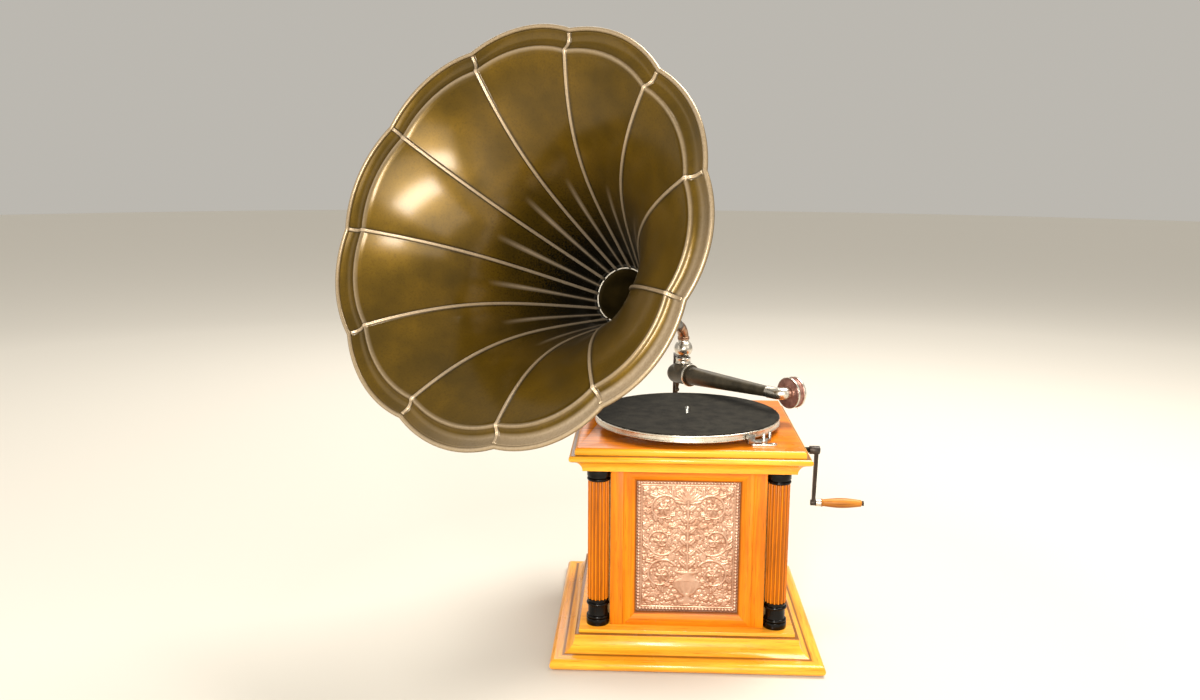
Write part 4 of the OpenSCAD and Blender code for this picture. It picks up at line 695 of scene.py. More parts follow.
def leaf_height(x, z, cx, cz, turn, long, wide):
    """Height of a pointed leaf: a dome across a lens-shaped outline, with a sunk midrib and veins."""
    u = ((x - cx) * np.cos(turn) + (z - cz) * np.sin(turn)) / long
    v = (-(x - cx) * np.sin(turn) + (z - cz) * np.cos(turn)) / wide
    edge = np.sin(np.pi * np.clip(u, 0, 1) ** 0.75) * (1 + 0.14 * np.cos(26 * u))
    share = np.abs(v) / np.maximum(edge, 1e-6)
    dome = half_round(share) * np.clip(edge * 1.6, 0, 1)
    veins = 0.5 + 0.5 * np.cos(34 * (u - 0.7 * np.abs(v)))
    rib = 1 - 0.45 * np.exp(-(v / 0.12) ** 2) - 0.12 * veins
    return np.where((u > 0) & (u < 1) & (share < 1), dome * rib, 0)


def rosette_height(x, z, cx, cz, reach, count):
    """Height of a flower: rounded petals round a raised button."""
    r, turn = np.hypot(x - cx, z - cz) / reach, np.arctan2(z - cz, x - cx)
    lobe = np.abs(np.cos(count * turn / 2))
    petal = half_round(r / (0.72 + 0.28 * lobe)) * (0.62 + 0.38 * lobe)
    return np.maximum(petal, 1.1 * half_round(r / 0.3))


def urn_height(x, z):
    """Height of a turned urn: half round across a width that swells and narrows, with fluted sides."""
    s = np.clip((z - URN_FOOT) / URN_HEIGHT, 0, 1)
    wide = np.interp(s, [0, 0.06, 0.12, 0.2, 0.3, 0.5, 0.68, 0.8, 0.9, 0.95, 1],
                     [14, 14, 8, 5, 11, 21, 22, 12, 9, 16, 16])
    across = x / wide
    flutes = 0.5 + 0.5 * np.cos(9 * np.arcsin(np.clip(across, -1, 1)))
    body = half_round(across) * (1 - 0.22 * flutes * ((s > 0.3) & (s < 0.7)))
    return np.where((z > URN_FOOT) & (z < URN_FOOT + URN_HEIGHT), body, 0)


def sprig_field(x, z, half, tall):
    """Height of small leaves and berries that fill the ground, on a lattice of rows moved by half a step.

    A leaf's turn and length follow sines of its place, so the pattern looks grown but never changes.
    """
    high = np.zeros(x.shape)
    pitch, near_reach, berry_off, berry_radius = 8.5, 13, 3.4, 1.9
    for row, cz in enumerate(np.arange(9.0, tall - 4, 0.82 * pitch)):
        for cx in np.arange(2.0 + pitch / 2 * (row % 2), half, pitch):
            turn = 1.2 + 1.5 * math.sin(0.21 * cx + 0.6 * row) + 0.9 * math.sin(0.83 * cx - 1.7 * row)
            long = 9.5 + 2.5 * math.sin(1.9 * cx + 2.3 * row)
            near = (np.abs(x - cx) < near_reach) & (np.abs(z - cz) < near_reach)
            leaf = leaf_height(x[near], z[near], cx, cz, turn, long, 0.36 * long)
            bx, bz = cx + berry_off * math.cos(turn + 2.4), cz + berry_off * math.sin(turn + 2.4)
            berry = 0.9 * half_round(np.hypot(x[near] - bx, z[near] - bz) / berry_radius)
            high[near] = np.maximum(high[near], np.maximum(leaf, berry))
    return high


def scroll_layers(x, z, cx, cz, reach, start, hand):
    """Heights of a scroll: its winding stem, a flower in its eye, and leaves that shrink along the stem."""
    path = spiral(cx, cz, reach, start, hand)
    layers = [0.75 * stem_height(x, z, path), 0.95 * rosette_height(x, z, cx, cz, 10.5, 6)]
    for k in range(3, 66, 6):
        step = path[k + 1] - path[k]
        lean = 0.9 if k % 12 == 3 else 0.45
        turn = math.atan2(step[1], step[0]) - hand * lean
        long = 19 * (1 - k / 150)
        layers.append(0.8 * leaf_height(x, z, path[k][0], path[k][1], turn, long, 0.3 * long))
    return layers


def beaded_border(x, z, half, tall):
    """Height of the border, a row of pearls and a round line inside it, and the share left to the field."""
    pitch, pearl_in, pearl_radius, line_in, line_half = 5.2, 3.4, 2.3, 7.2, 1.0
    to_side, to_end = half - np.abs(x), np.minimum(z, tall - z)
    edge = np.minimum(to_side, to_end)
    run = np.where(to_side < to_end, z, x) / pitch
    pearl = np.hypot((run - np.round(run)) * pitch, edge - pearl_in) / pearl_radius
    border = np.maximum(0.6 * half_round(pearl), 0.4 * half_round((edge - line_in) / line_half))
    return border, np.clip((edge - 8.5) / 2.0, 0, 1)


def ornament(x, z, half, tall):
    """Height, from 0 to 1, of a stamped ornament in millimetres: an urn, scrolling stems, leaves, flowers.

    The highest motif counts at each point. x is folded at the middle line, so that each motif is worked
    out once, on the right half.
    """
    fold = np.abs(x)
    layers = [0.42 * sprig_field(fold, z, half, tall), 0.95 * urn_height(x, z)]
    for scroll in SCROLLS:
        layers += scroll_layers(fold, z, *scroll)
    up = np.linspace(STEM_LOW, STEM_HIGH, 60)
    stem = np.stack([np.zeros_like(up), up, np.full_like(up, STEM_HALF)], axis=1)
    layers.append(0.75 * stem_height(fold, z, stem))
    layers += [0.85 * leaf_height(fold, z, 1.0, cz, 0.75, 17, 5.2) for cz in STEM_LEAF_HEIGHTS]
    layers += [0.9 * leaf_height(fold, z, 0.0, CROWN_HEIGHT, turn, 27, 6.5) for turn in CROWN_TURNS]
    layers += [0.75 * rosette_height(fold, z, cx, cz, reach, 5) for cx, cz, reach in BLOSSOMS]
    border, field = beaded_border(x, z, half, tall)
    return np.maximum(np.maximum.reduce(layers) * field, border)


def local_mean(field, reach):
    """Mean of a field over a square of 2 reach + 1 points, from differences of its running sums."""
    width = 2 * reach + 1
    for axis in (0, 1):
        padded = np.pad(field, [(reach + 1, reach) if k == axis else (0, 0) for k in (0, 1)], mode="edge")
        total = np.cumsum(padded, axis=axis)
        ends = np.take(total, np.arange(width, total.shape[axis]), axis)
        field = (ends - np.take(total, np.arange(total.shape[axis] - width), axis)) / width
    return field


class GRAMOPHONE_OT_copper_panel(bpy.types.Operator):
    """Stamp the copper panel in the front with an ornament of scrolling foliage"""
    bl_idname = "gramophone.copper_panel"
    bl_label = "Copper panel"

    def execute(self, context):
        """A height field over the sheet, closed by a flat back of the panel's thickness.

        The tone is light where a point stands above the mean of its surroundings, and dark where below.
        """
        size = context.scene.gramophone_panel
        half, tall, lap = size.half_width / MM, size.opening_height / MM, size.lap / MM
        columns, rows, edge_gap, surroundings = 262, 350, 0.3, 4
        across, up = np.meshgrid(np.linspace(-half - lap, half + lap, columns),
                                 np.linspace(-lap, tall + lap, rows))
        inside = (np.abs(across) < half - edge_gap) & (np.abs(up - tall / 2) < tall / 2 - edge_gap)
        high = np.where(inside, ornament(across, up, half, tall), 0)
        front = np.full(across.shape, -size.front) - high * size.relief
        points = np.stack([across * MM, front, up * MM + size.low], axis=-1)
        points = np.concatenate([points[:1], points, points[-1:]])
        points = np.concatenate([points[:, :1], points, points[:, -1:]], axis=1)
        back = np.zeros(points.shape[:2], bool)
        back[[0, -1], :] = True
        back[:, [0, -1]] = True
        points[back, 1] = -size.front + size.thickness
        number = np.arange(back.size).reshape(back.shape)
        cap = np.concatenate([number[0], number[1:, -1], number[-1, -2::-1], number[-2:0:-1, 0]])
        above = high - local_mean(high, surroundings)
        tone = np.pad(np.clip(0.5 + 0.2 * high + 0.8 * above, 0, 1), 1)
        make_piece("copper_panel_relief", [(points, False, False)], "case",
                   embossed_copper("silvered_copper", context.scene.gramophone_finish),
                   replaces=["copper_panel"], caps=[cap], values={"relief": tone})
        return {"FINISHED"}


class GRAMOPHONE_OT_turntable(bpy.types.Operator):
    """Make the platter and its felt, and dress the spindle"""
    bl_idname = "gramophone.turntable"
    bl_label = "Turntable"

    def execute(self, context):
        """Both are profiles turned about the spindle; the felt's face undulates by a fibre's height."""
        size = context.scene.gramophone_turntable
        centre, seat = (0, -size.front, size.low), (0, -size.front, size.low + size.rim)
        r, rim, bore = size.radius / MM, size.rim / MM, size.bore / MM
        outline = [(bore, 1), (14, 1), (14, 9), (r - 4, 9), (r - 4, 1.6), (r - 4.6, 0.6), (r - 3.4, 0),
                   (r - 1.2, 0), (r, 1.2), (r, 2.6), (r - 0.5, 3.1), (r - 0.5, 8.6), (r, 9.1),
                   (r, rim - 0.4), (r - 0.6, rim), (bore, rim)]
        make_piece("turntable_platter", [revolve(rounded(outline, 0.7) * MM, centre, (0, 0, 1), 192)],
                   "turntable", nickel(), replaces=["platter"])
        f, t = size.felt_radius / MM, size.felt / MM
        rings = np.linspace(f - 0.8, bore + 0.6, 60)[:, None]
        profile = np.concatenate([
            [(bore, 0.2), (bore + 0.3, 0), (f - 0.4, 0), (f, 0.4), (f, t - 0.6), (f - 0.2, t - 0.2)],
            np.hstack([rings, np.full_like(rings, t)]), [(bore + 0.1, t - 0.2)]]) * MM
        points, wrap_rows, wrap_cols = revolve(profile, seat, (0, 0, 1), 192)
        x, y = points[..., 0] / MM, points[..., 1] / MM
        fibre_height = 0.08 * MM
        top = points[..., 2] > seat[2] + 0.8 * size.felt
        wave = np.sin(0.9 * x + 2 * np.sin(0.23 * y)) * np.sin(0.8 * y + 2 * np.sin(0.31 * x))
        points[..., 2] -= np.where(top, fibre_height * (1 + wave), 0)
        felt = make_piece("turntable_felt", [(points, wrap_rows, wrap_cols)], "turntable",
                          wool_felt("pressed_felt", context.scene.gramophone_finish.felt),
                          replaces=["felt_mat"])
        dress(["spindle"], steel(), bevel=0.2)
        return {"FINISHED"}


class GRAMOPHONE_OT_motor(bpy.types.Operator):
    """Dress the spring motor inside the case"""
    bl_idname = "gramophone.motor"
    bl_label = "Spring motor"

    def execute(self, context):
        """Steel shafts, brass wheels and dark plates."""
        dress(["motor_top_plate", "motor_bottom_plate", "governor_brackets"], iron(), bevel=0.4)
        dress(["intermediate_pinion", "barrel_arbor", "governor_shaft", "governor_disc", "governor_springs",
               "mainspring", "motor_pillars", "regulator_lever"], steel(), bevel=0)
        dress(["governor_wheel", "intermediate_wheel", "barrel_drum", "barrel_cover", "winding_wheel",
               "governor_weights"], brass(), bevel=0)
        return {"FINISHED"}


class GRAMOPHONE_OT_crank(bpy.types.Operator):
    """Make the turned grip of the winding crank and dress its iron arm"""
    bl_idname = "gramophone.crank"
    bl_label = "Winding crank"

    def execute(self, context):
        """The grip is a turned profile: a bead at the ferrule, a long swell and a round end."""
        low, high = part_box("crank_grip")
        centre = (low.x, (low.y + high.y) / 2, (low.z + high.z) / 2)
        bore, run = 3.06, (high.x - low.x) / MM
        s = np.linspace(0, 1, 46)
        swell = 5.6 + 2.9 * np.sin(np.pi * np.clip(0.08 + 0.86 * s, 0, 1)) ** 1.5
        wood = np.concatenate([[(bore, 9.2), (6.2, 9.2), (6.9, 9.8), (7.0, 10.8), (6.2, 11.6)],
                               np.stack([swell, 12 + (run - 14.5) * s], axis=1),
                               [(4.9, run - 1.4), (4.0, run - 0.6), (bore, run - 0.5)]]) * MM
        grip = shared("turned_beech", varnished_oak, "x", linear("#bb7a2c"), linear("#7d4716"),
                      linear("#41200c"), gloss=0.28)
        make_piece("crank_grip_wood", [revolve(wood, centre, (1, 0, 0), 64)], "grip", grip,
                   replaces=["crank_grip"])
        ferrule = rounded([(bore, 0), (6.4, 0), (6.5, 1.6), (6.0, 2.2), (6.3, 6.8), (6.6, 7.6), (6.4, 9.0),
                           (bore, 9.0)], 0.5) * MM
        make_piece("crank_grip_ferrule", [revolve(ferrule, centre, (1, 0, 0), 64)], "grip", nickel())
        dress(["crank_arm"], iron(), bevel=0.8)
        dress(["winding_shaft"], steel(), bevel=0)
        dress(["crank_escutcheon"], nickel(), bevel=0.3)
        return {"FINISHED"}


class GRAMOPHONE_OT_tonearm(bpy.types.Operator):
    """Dress the bracket, the tone arm and the horn's swivel with their nickel collars"""
    bl_idname = "gramophone.tonearm"
    bl_label = "Tone arm"

    def execute(self, context):
        """Collars are beaded rings turned about the pivot and about the arm."""
        dress(["back_bracket"], iron(), bevel=1.0)
        dress(["tonearm_elbow", "tonearm_tube"], bronzed(), bevel=0.4)
        dress(["swivel_ball"], nickel(), bevel=0.4)
        sleeve = (0, context.scene.gramophone_horn.pivot_back, 406.4 * MM)
        collar = rounded([(12.9, 0), (14.0, 0), (14.4, 1.4), (13.6, 2.8), (13.2, 5.6), (13.6, 8.4),
                          (14.2, 9.8), (13.8, 11.2), (12.9, 11.2)], 0.6) * MM
        make_piece("sleeve_collar", [revolve(collar, sleeve, (0, 0, 1))], "case", nickel())
        flange_back = 211 * MM
        position, along = joint_line("soundbox_turn")
        ring = rounded([(19.4, 0.6), (20.0, 0.6), (20.3, 1.6), (20.0, 2.5), (20.3, 3.4), (20.0, 4.5),
                        (19.4, 4.5)], 0.4) * MM
        make_piece("arm_flange_ring", [revolve(ring, position - flange_back * along, along)], "tonearm",
                   nickel())
        return {"FINISHED"}


class GRAMOPHONE_OT_soundbox(bpy.types.Operator):
    """Make the sound box's ringed rim and dress its other pieces"""
    bl_idname = "gramophone.soundbox"
    bl_label = "Sound box"

    def execute(self, context):
        """The rim is a stepped profile turned about the box's axis."""
        along = joint_line("needle_screw_turn")[1]
        low, high = (np.array(corner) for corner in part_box("soundbox_rim"))
        centre, extent = (low + high) / 2, (high - low) / MM
        r = extent[2] / 2
        # The box's width is the disc's lean plus its thickness across, which gives half the thickness
        front = (extent[0] - 2 * r * math.sqrt(1 - along[0] ** 2)) / abs(along[0]) / 2
        back, wall = -front, r - 3.05
        rim = rounded([(wall, back), (r - 1.8, back), (r - 0.9, back + 1.2), (r - 0.9, back + 4.0),
                       (r - 1.2, back + 5.0), (r - 2.2, back + 5.3), (r - 2.2, front - 5.3),
                       (r - 1.2, front - 5.0), (r - 0.9, front - 4.2), (r - 0.9, front - 1.8),
                       (r - 1.8, front - 0.4), (r - 3.4, front), (r - 6, front), (r - 6, front - 2.1),
                       (wall, front - 2.1)], 0.5) * MM
        lacquer = shared("lacquered_bronze", metal, "#a87a6c", "#6e463c", 0.36, 10, metallic=0.6, coat=0.3)
        make_piece("soundbox_rim_ring", [revolve(rim, centre, along, 128)], "soundbox", lacquer,
                   replaces=["soundbox_rim"])
        flange = np.array([(-1.4, 0.0), (0.1, 0.0), (0.4, 0.8), (0.4, 2.8), (0.1, 3.6), (-1.4, 3.6)])
        flanges = [revolve(rounded(flange + (r - 0.5, start), 0.3) * MM, centre, along, 128)
                   for start in (back + 0.4, front - 4.6)]
        make_piece("soundbox_flanges", flanges, "soundbox", nickel())
        dress(["soundbox_back"], lacquer, bevel=0.5)
        dress(["soundbox_elbow", "needle_screw"], nickel(), bevel=0.3)
        dress(["stylus_bar", "needle"], steel(), bevel=0.1)
        dress(["diaphragm"], shared("mica_sheet", clear_mica), bevel=0)
        rubber = shared("soft_rubber", matt_skin, "#2b2522", "#171412", 0.6, 6)
        dress(["diaphragm_gaskets"], rubber, bevel=0.4)
        return {"FINISHED"}


def horn_axes(size):
    """The horn's corner, and its side, up and forward directions as the rows of an array."""
    a, e = size.azimuth, size.slope
    corner = np.array([0, size.pivot_back, size.bend_height])
    axes = np.array([[math.cos(a), -math.sin(a), 0],
                     [math.sin(e) * math.sin(a), math.sin(e) * math.cos(a), math.cos(e)],
                     [-math.sin(a) * math.cos(e), -math.cos(a) * math.cos(e), math.sin(e)]])
    return corner, axes


def horn_profile(size, flare_rows, lip_rows):
    """Radius and distance along the axis: an even widening plus a steep power curl, then a hollow lip."""
    ring_back = 2 * MM
    s = np.linspace(0, 1, flare_rows) ** 0.8
    radius = size.throat + (size.ring - size.throat) * (0.6 * s + 0.4 * s ** 4.6)
    along = size.reach - size.flare + s * (size.flare - ring_back)
    t = np.linspace(0, 1, lip_rows + 1)[1:]
    lip = size.ring + t * (size.mouth - size.ring)
    lip_along = size.reach - ring_back * (1 - t) - size.lip_depth * np.sin(np.pi * t)
    return np.concatenate([radius, lip]), np.concatenate([along, lip_along])


def petal_columns(half, bead):
    """Turn of each column from a petal's middle, and its place across the seam's bead, from 0 to 1.

    Columns cross half of the bead in even steps, then widen to the petal's middle and mirror beyond it.
    """
    on_bead, beside = 7, 9
    share = np.concatenate([np.linspace(0, 1, on_bead + 1)[:-1], 1 + np.linspace(0, 1, beside + 1) ** 1.7])
    share = np.concatenate([share, share[-2:0:-1]])
    side = np.concatenate([-np.ones(on_bead + beside + 1), np.ones(on_bead + beside - 1)])
    across, beyond = np.minimum(share, 1), np.clip(share - 1, 0, 1)
    return side * ((half - bead * across) - (half - bead) * beyond), across


def bell_relief(size, radius, flare_rows, turn, across):
    """Heights raised inside and outside the sheet, and the bare metal's share on both sides, which inside
    also paints highlights on the beads, the crease and the ring.

    Inside, a seam is a flat-topped bead with a sunk middle line, a crease runs from the throat along each
    petal's middle and fades, and a ring stands where the lip begins. Outside, a seam is a low ridge. The
    crease, the ring and the ridge are bell curves of the distance from their lines.
    """
    crease_reach, ring_reach, ridge_reach = 1.5 * MM, 1.9 * MM, 2.2 * MM
    crease_height, ring_height, ridge_height = 1.3 * MM, 2.2 * MM, 1.0 * MM
    half, rows, r = math.pi / size.petals, len(radius), radius[:, None]
    strip = np.sqrt(np.clip(1 - across ** 2.6, 0, 1)) * (1 - 0.25 * np.exp(-(across / 0.22) ** 2))
    fade = np.clip(3 * (1 - np.arange(rows) / (0.5 * flare_rows)), 0, 1)[:, None]
    crease = np.exp(-(turn * r / crease_reach) ** 2) * fade
    ring = np.exp(-((r - size.ring) / ring_reach) ** 2)
    ridge = np.exp(-((half - np.abs(turn)) * r / ridge_reach) ** 2)
    raised = (size.seam_height * strip + crease_height * crease * (1 - strip)
              + ring_height * ring * (1 - 0.6 * strip))
    outward = np.linspace(0.7, 1, rows)[:, None]
    # Bare metal on the beads, crease and ring, raised toward the mouth, also paints their highlights
    bare_and_highlit_inside = np.clip(0.85 * strip * outward + 0.6 * crease + 0.45 * ring, 0, 1)
    return raised, ridge_height * ridge, bare_and_highlit_inside, 0.5 * ridge


def there_and_back(inside, outside):
    """Rows of the inside from throat to mouth, then those of the outside from mouth to throat."""
    return np.concatenate([inside, outside[::-1]])


def painted_shade_inside(size, r, turn, from_throat):
    """Share of painted shade inside the bell: it fades evenly from the throat, and lies as a painted shadow
    beside the seams' beads.
    """
    seam_shadow, off_bead, shadow_reach = 0.75, 0.4 * MM, 1.0 * MM
    from_bead = (math.pi / size.petals - np.abs(turn)) * r - size.seam_width / 2
    beside = seam_shadow * np.exp(-((from_bead - off_bead) / shadow_reach) ** 2)
    return np.maximum(np.clip(1.25 - 1.8 * from_throat, 0, 0.98), beside)


def painted_lip_reflection(size, r, angles):
    """Share of a painted reflection on the outer lip, in bare metal's colour: a power of the cosine of the
    turn.
    """
    reflection_turn, reflection_power, most = -0.75, 2.5, 0.7
    facing_share = np.clip(np.cos(angles - reflection_turn), 0, 1) ** reflection_power
    outer = np.clip((r - size.ring) / (size.mouth - size.ring) / 0.25 - 1.3, 0, 1)
    return most * outer * facing_share


def bell_grid(size):
    """Points of the bell in the horn's own axes, and at each the share of bare metal, which also paints
    highlights and a reflection, and the share of painted shade.

    A row is a ring round the horn: its profile, bulged between the seams and moved along the profile's
    normal by what is raised on the inside or by the sheet and the ridges on the outside.
    """
    flare_rows, lip_rows = 92, 18
    radius, along = horn_profile(size, flare_rows, lip_rows)
    rows, half = len(radius), math.pi / size.petals
    step = np.gradient(np.stack([radius, along], axis=1), axis=0)
    step /= np.linalg.norm(step, axis=1)[:, None]
    out_r, out_z = step[:, 1:], -step[:, :1]
    r, z = radius[:, None], along[:, None]
    turn, across = petal_columns(half, size.seam_width / 2 / r)
    raised, ridge, bare_and_highlit_inside, wear_outside = bell_relief(size, radius, flare_rows, turn, across)
    bulged = r + size.bulge * (1 - (turn / half) ** 2) * (r / size.mouth) ** 2
    reach = there_and_back(bulged - out_r * raised, bulged + out_r * (size.sheet + ridge))
    depth = there_and_back(z - out_z * raised, z + out_z * (size.sheet + ridge))
    wear = there_and_back(bare_and_highlit_inside, wear_outside)
    painted_shade = painted_shade_inside(size, r, turn, (depth[:rows] - depth.min()) / size.flare)
    painted_shade = there_and_back(painted_shade, np.zeros_like(painted_shade))
    reach, depth, wear, painted_shade = (np.tile(field, size.petals) for field in (reach, depth, wear, painted_shade))
    petal_middles = size.seam_turn + half + np.repeat(np.arange(size.petals) * 2 * half, turn.shape[1])
    angles = np.tile(there_and_back(turn, turn), size.petals) + petal_middles
    # Adds the painted reflection on the outer lip
    wear[:rows] = np.maximum(wear[:rows], painted_lip_reflection(size, r, angles[:rows]))
    return np.stack([reach * np.cos(angles), reach * np.sin(angles), depth], axis=-1), wear, painted_shade


def rolled_edge_grid(size):
    """Points of a round wire carried along the petals' scalloped outline, and its bare metal's share, which
    also paints the rim's highlight.
    """
    half, gap = math.pi / size.petals, 0.2 * MM
    turn = np.linspace(0, TURN, size.petals * 48, endpoint=False)
    across = (turn % (2 * half)) - half
    middle = size.mouth + size.bulge * (1 - (across / half) ** 2) + size.rim_radius + gap
    round_turn = np.linspace(0, TURN, 16, endpoint=False)[:, None]
    reach = middle + size.rim_radius * np.cos(round_turn)
    depth = size.reach + size.rim_radius * np.sin(round_turn) * np.ones_like(middle)
    # Bare metal on the roll's front, also painting its highlight
    wear = np.clip(0.1 + 0.5 * np.sin(round_turn), 0, 1) * np.ones_like(middle)
    angles = size.seam_turn + turn
    return np.stack([reach * np.cos(angles), reach * np.sin(angles), depth], axis=-1), wear


class GRAMOPHONE_OT_horn(bpy.types.Operator):
    """Make the horn's seamed petals, rolled edge and throat bead, and dress its neck"""
    bl_idname = "gramophone.horn"
    bl_label = "Petal horn"

    def execute(self, context):
        """The bell and its edge are closed grids in the horn's axes, and the bead is a turned circle."""
        size = context.scene.gramophone_horn
        corner, axes = horn_axes(size)
        skin = patinated_horn("patinated_sheet", context.scene.gramophone_finish)
        bell, wear, painted_shade = bell_grid(size)
        make_piece("horn_bell", [(corner + bell @ axes, True, True)], "horn", skin,
                   replaces=["horn_petals"], values={"worn": wear, "deep": painted_shade})
        edge, wear = rolled_edge_grid(size)
        make_piece("horn_rolled_edge", [(corner + edge @ axes, True, True)], "horn", skin,
                   replaces=["horn_rim_bead"], values={"worn": wear})
        japan = shared("japanned_sheet", metal, "#33280f", "#1d1708", 0.34, 30, metallic=0.3, coat=0.3)
        dress(["horn_neck"], japan, bevel=0)
        worn = shared("worn_brass", metal, "#b9957a", "#7d6048", 0.36, 10, scratch=0.05)
        dress(["horn_elbow"], worn, bevel=0)
        tinned = shared("tinned_ring", metal, "#ded8ca", "#bdb5a4", 0.4, 10, metallic=0.2)
        dress(["horn_throat_ring"], tinned, bevel=0)
        turn = np.linspace(0, TURN, 12, endpoint=False)
        bead_reach, bead = size.throat - 0.9 * MM, 1.1 * MM
        profile = np.stack([bead_reach + bead * np.cos(turn), bead * np.sin(turn)], axis=1)
        throat = corner + (size.reach - size.flare) * axes[2]
        make_piece("horn_throat_bead", [revolve(profile, throat, axes[2], 128)], "horn", tinned)
        return {"FINISHED"}


class GRAMOPHONE_OT_fittings(bpy.types.Operator):
    """Dress the brake, the speed knob and the screws"""
    bl_idname = "gramophone.fittings"
    bl_label = "Brake, knob and screws"

    def execute(self, context):
        """All three keep their CAD shapes."""
        dress(["brake_plate", "regulator_knob"], nickel(), bevel=0.3)
        dress(["brake_lever"], steel(), bevel=0.4)
        dress(["wood_screws"], steel(), bevel=0.2)
        return {"FINISHED"}


# Stage

CAMERA_AT = (-73.96 * MM, -1748.44 * MM, 778.77 * MM)
CAMERA_YAW, CAMERA_PITCH, CAMERA_ROLL = (math.radians(a) for a in (-2.286, 10.226, 0.353))
CAMERA_FOCAL_PX, IMAGE_WIDTH_PX, SENSOR_MM = 1082.5, 1200, 36.0
FLOOR_RINGS_M, FLOOR_CORNERS = (0.001, 1.0, 4.0, 14.0), 64
LAMP_WHITE = linear("#fff9f0")
SKY_STRENGTH = 0.52

# Lamp panels: place, the point each faces, width and height, all in metres, and power in watts
LAMPS = {
    "key": ((-0.25, -2.05, 1.03), (-0.25, -0.1, 0.65), (0.36, 1.0), 41),
    "front": ((0.05, -2.6, 1.1), (-0.1, -0.1, 0.5), (2.4, 1.6), 42),
    "overhead": ((0.8, 0.5, 2.6), (0.0, 0.0, 0.3), (1.4, 1.4), 110),
    "left_fill": ((-2.4, -1.2, 1.2), (-0.1, 0.0, 0.5), (1.6, 1.6), 8),
    "right_fill": ((2.2, -1.0, 1.4), (0.0, 0.0, 0.4), (1.4, 1.4), 8),
    "behind": ((-0.6, 2.4, 1.9), (0.0, 0.1, 0.5), (1.4, 1.4), 16),
}


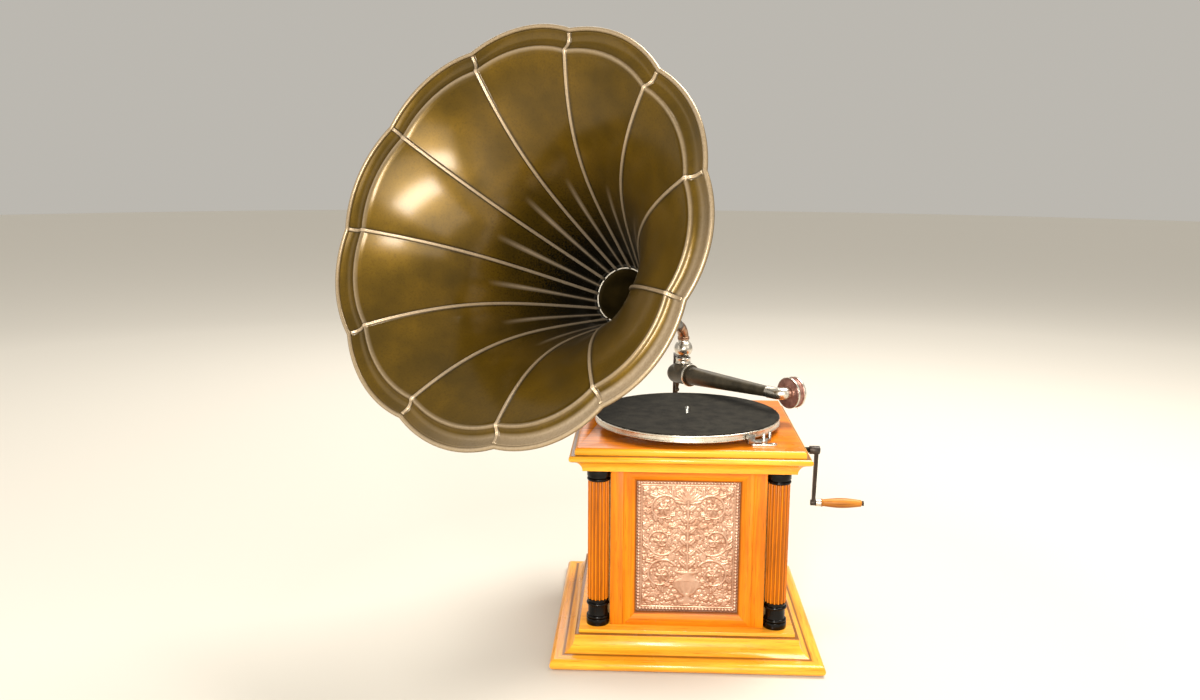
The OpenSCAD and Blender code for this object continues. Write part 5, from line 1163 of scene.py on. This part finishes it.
class GRAMOPHONE_OT_stage(bpy.types.Operator):
    """Add the pale floor, the soft studio lights and the camera"""
    bl_idname = "gramophone.stage"
    bl_label = "Stage"

    def execute(self, context):
        """The floor, the camera, the lamp panels and an even sky."""
        self.floor(context)
        self.camera(context)
        for name, lamp in LAMPS.items():
            self.lamp(context, name, *lamp)
        world = bpy.data.worlds.new("studio")
        world.use_nodes = True
        sky = world.node_tree.nodes["Background"]
        sky.inputs["Color"].default_value = WARM_WHITE
        sky.inputs["Strength"].default_value = SKY_STRENGTH
        context.scene.world = world
        context.scene.view_settings.view_transform = "Standard"
        return {"FINISHED"}

    def floor(self, context):
        """A wide round floor: flat rings of faces round a small middle face."""
        turn = np.linspace(0, TURN, FLOOR_CORNERS, endpoint=False)
        reach = np.array(FLOOR_RINGS_M)[:, None]
        points = np.stack([reach * np.cos(turn), reach * np.sin(turn), 0 * reach * turn], axis=-1)
        faces = grid_faces(len(reach), FLOOR_CORNERS, False, True)[:, ::-1].tolist()
        mesh = bpy.data.meshes.new("studio_floor")
        mesh.from_pydata(points.reshape(-1, 3).tolist(), [], faces + [list(range(FLOOR_CORNERS))])
        mesh.update()
        mesh.materials.append(matt_paper("matt_paper", context.scene.gramophone_finish.floor))
        floor = bpy.data.objects.new("studio_floor", mesh)
        context.scene.collection.objects.link(floor)

    def place(self, context, name, data, right, up, back, position):
        """Adds a camera or a lamp whose axes point right, up and back from its position."""
        item = bpy.data.objects.new(name, data)
        columns = np.stack([right, up, back, np.array(position)], axis=1)
        item.matrix_world = Matrix(np.vstack([columns, [0, 0, 0, 1]]).tolist())
        context.scene.collection.objects.link(item)
        return item

    def camera(self, context):
        """Right, up and forward directions from yaw and pitch, then turned by the roll."""
        data = bpy.data.cameras.new("photo_camera")
        data.sensor_width = SENSOR_MM
        data.lens = SENSOR_MM * CAMERA_FOCAL_PX / IMAGE_WIDTH_PX
        forward = np.array([math.sin(CAMERA_YAW) * math.cos(CAMERA_PITCH),
                            math.cos(CAMERA_YAW) * math.cos(CAMERA_PITCH), -math.sin(CAMERA_PITCH)])
        right = np.array([math.cos(CAMERA_YAW), -math.sin(CAMERA_YAW), 0.0])
        up = np.cross(right, forward)
        rolled_right = math.cos(CAMERA_ROLL) * right + math.sin(CAMERA_ROLL) * up
        rolled_up = -math.sin(CAMERA_ROLL) * right + math.cos(CAMERA_ROLL) * up
        context.scene.camera = self.place(context, "photo_camera", data, rolled_right, rolled_up, -forward,
                                          CAMERA_AT)

    def lamp(self, context, name, position, target, size, power):
        """A soft panel of a width and a height that faces a target and doesn't show itself."""
        data = bpy.data.lights.new(name, "AREA")
        data.shape = "RECTANGLE"
        data.size, data.size_y = size
        data.energy = power
        data.color = LAMP_WHITE[:3]
        back = np.array(position) - np.array(target)
        back /= np.linalg.norm(back)
        right = np.cross([0, 0, 1.0], back)
        right /= np.linalg.norm(right)
        lamp = self.place(context, name, data, right, np.cross(back, right), back, position)
        lamp.visible_camera = False


PIECE_OPERATORS = (GRAMOPHONE_OT_case, GRAMOPHONE_OT_columns, GRAMOPHONE_OT_copper_panel,
                   GRAMOPHONE_OT_turntable, GRAMOPHONE_OT_motor, GRAMOPHONE_OT_crank, GRAMOPHONE_OT_tonearm,
                   GRAMOPHONE_OT_soundbox, GRAMOPHONE_OT_horn, GRAMOPHONE_OT_fittings, GRAMOPHONE_OT_stage)
SETTINGS = {"gramophone_horn": HornSettings, "gramophone_panel": PanelSettings,
            "gramophone_turntable": TurntableSettings, "gramophone_finish": FinishSettings}


class GRAMOPHONE_PT_pieces(bpy.types.Panel):
    """Lists the settings and the operators in the sidebar"""
    bl_label = "Gramophone"
    bl_space_type = "VIEW_3D"
    bl_region_type = "UI"
    bl_category = "Gramophone"

    def draw(self, context):
        """One box of settings for each group, then one button for each piece."""
        for key, group in SETTINGS.items():
            box = self.layout.box()
            box.label(text=group.__doc__)
            for name in group.__annotations__:
                box.prop(getattr(context.scene, key), name)
        for operator in PIECE_OPERATORS:
            self.layout.operator(operator.bl_idname)


def register():
    """Registers the settings, the operators and the panel."""
    for key, group in SETTINGS.items():
        bpy.utils.register_class(group)
        setattr(bpy.types.Scene, key, bpy.props.PointerProperty(type=group))
    for item in (*PIECE_OPERATORS, GRAMOPHONE_PT_pieces):
        bpy.utils.register_class(item)


def unregister():
    """Takes back what register added."""
    for item in (GRAMOPHONE_PT_pieces, *reversed(PIECE_OPERATORS)):
        bpy.utils.unregister_class(item)
    for key, group in SETTINGS.items():
        delattr(bpy.types.Scene, key)
        bpy.utils.unregister_class(group)


def main():
    register()
    for operator in PIECE_OPERATORS:
        group, name = operator.bl_idname.split(".")
        getattr(getattr(bpy.ops, group), name)()


if __name__ == "__main__":
    main()
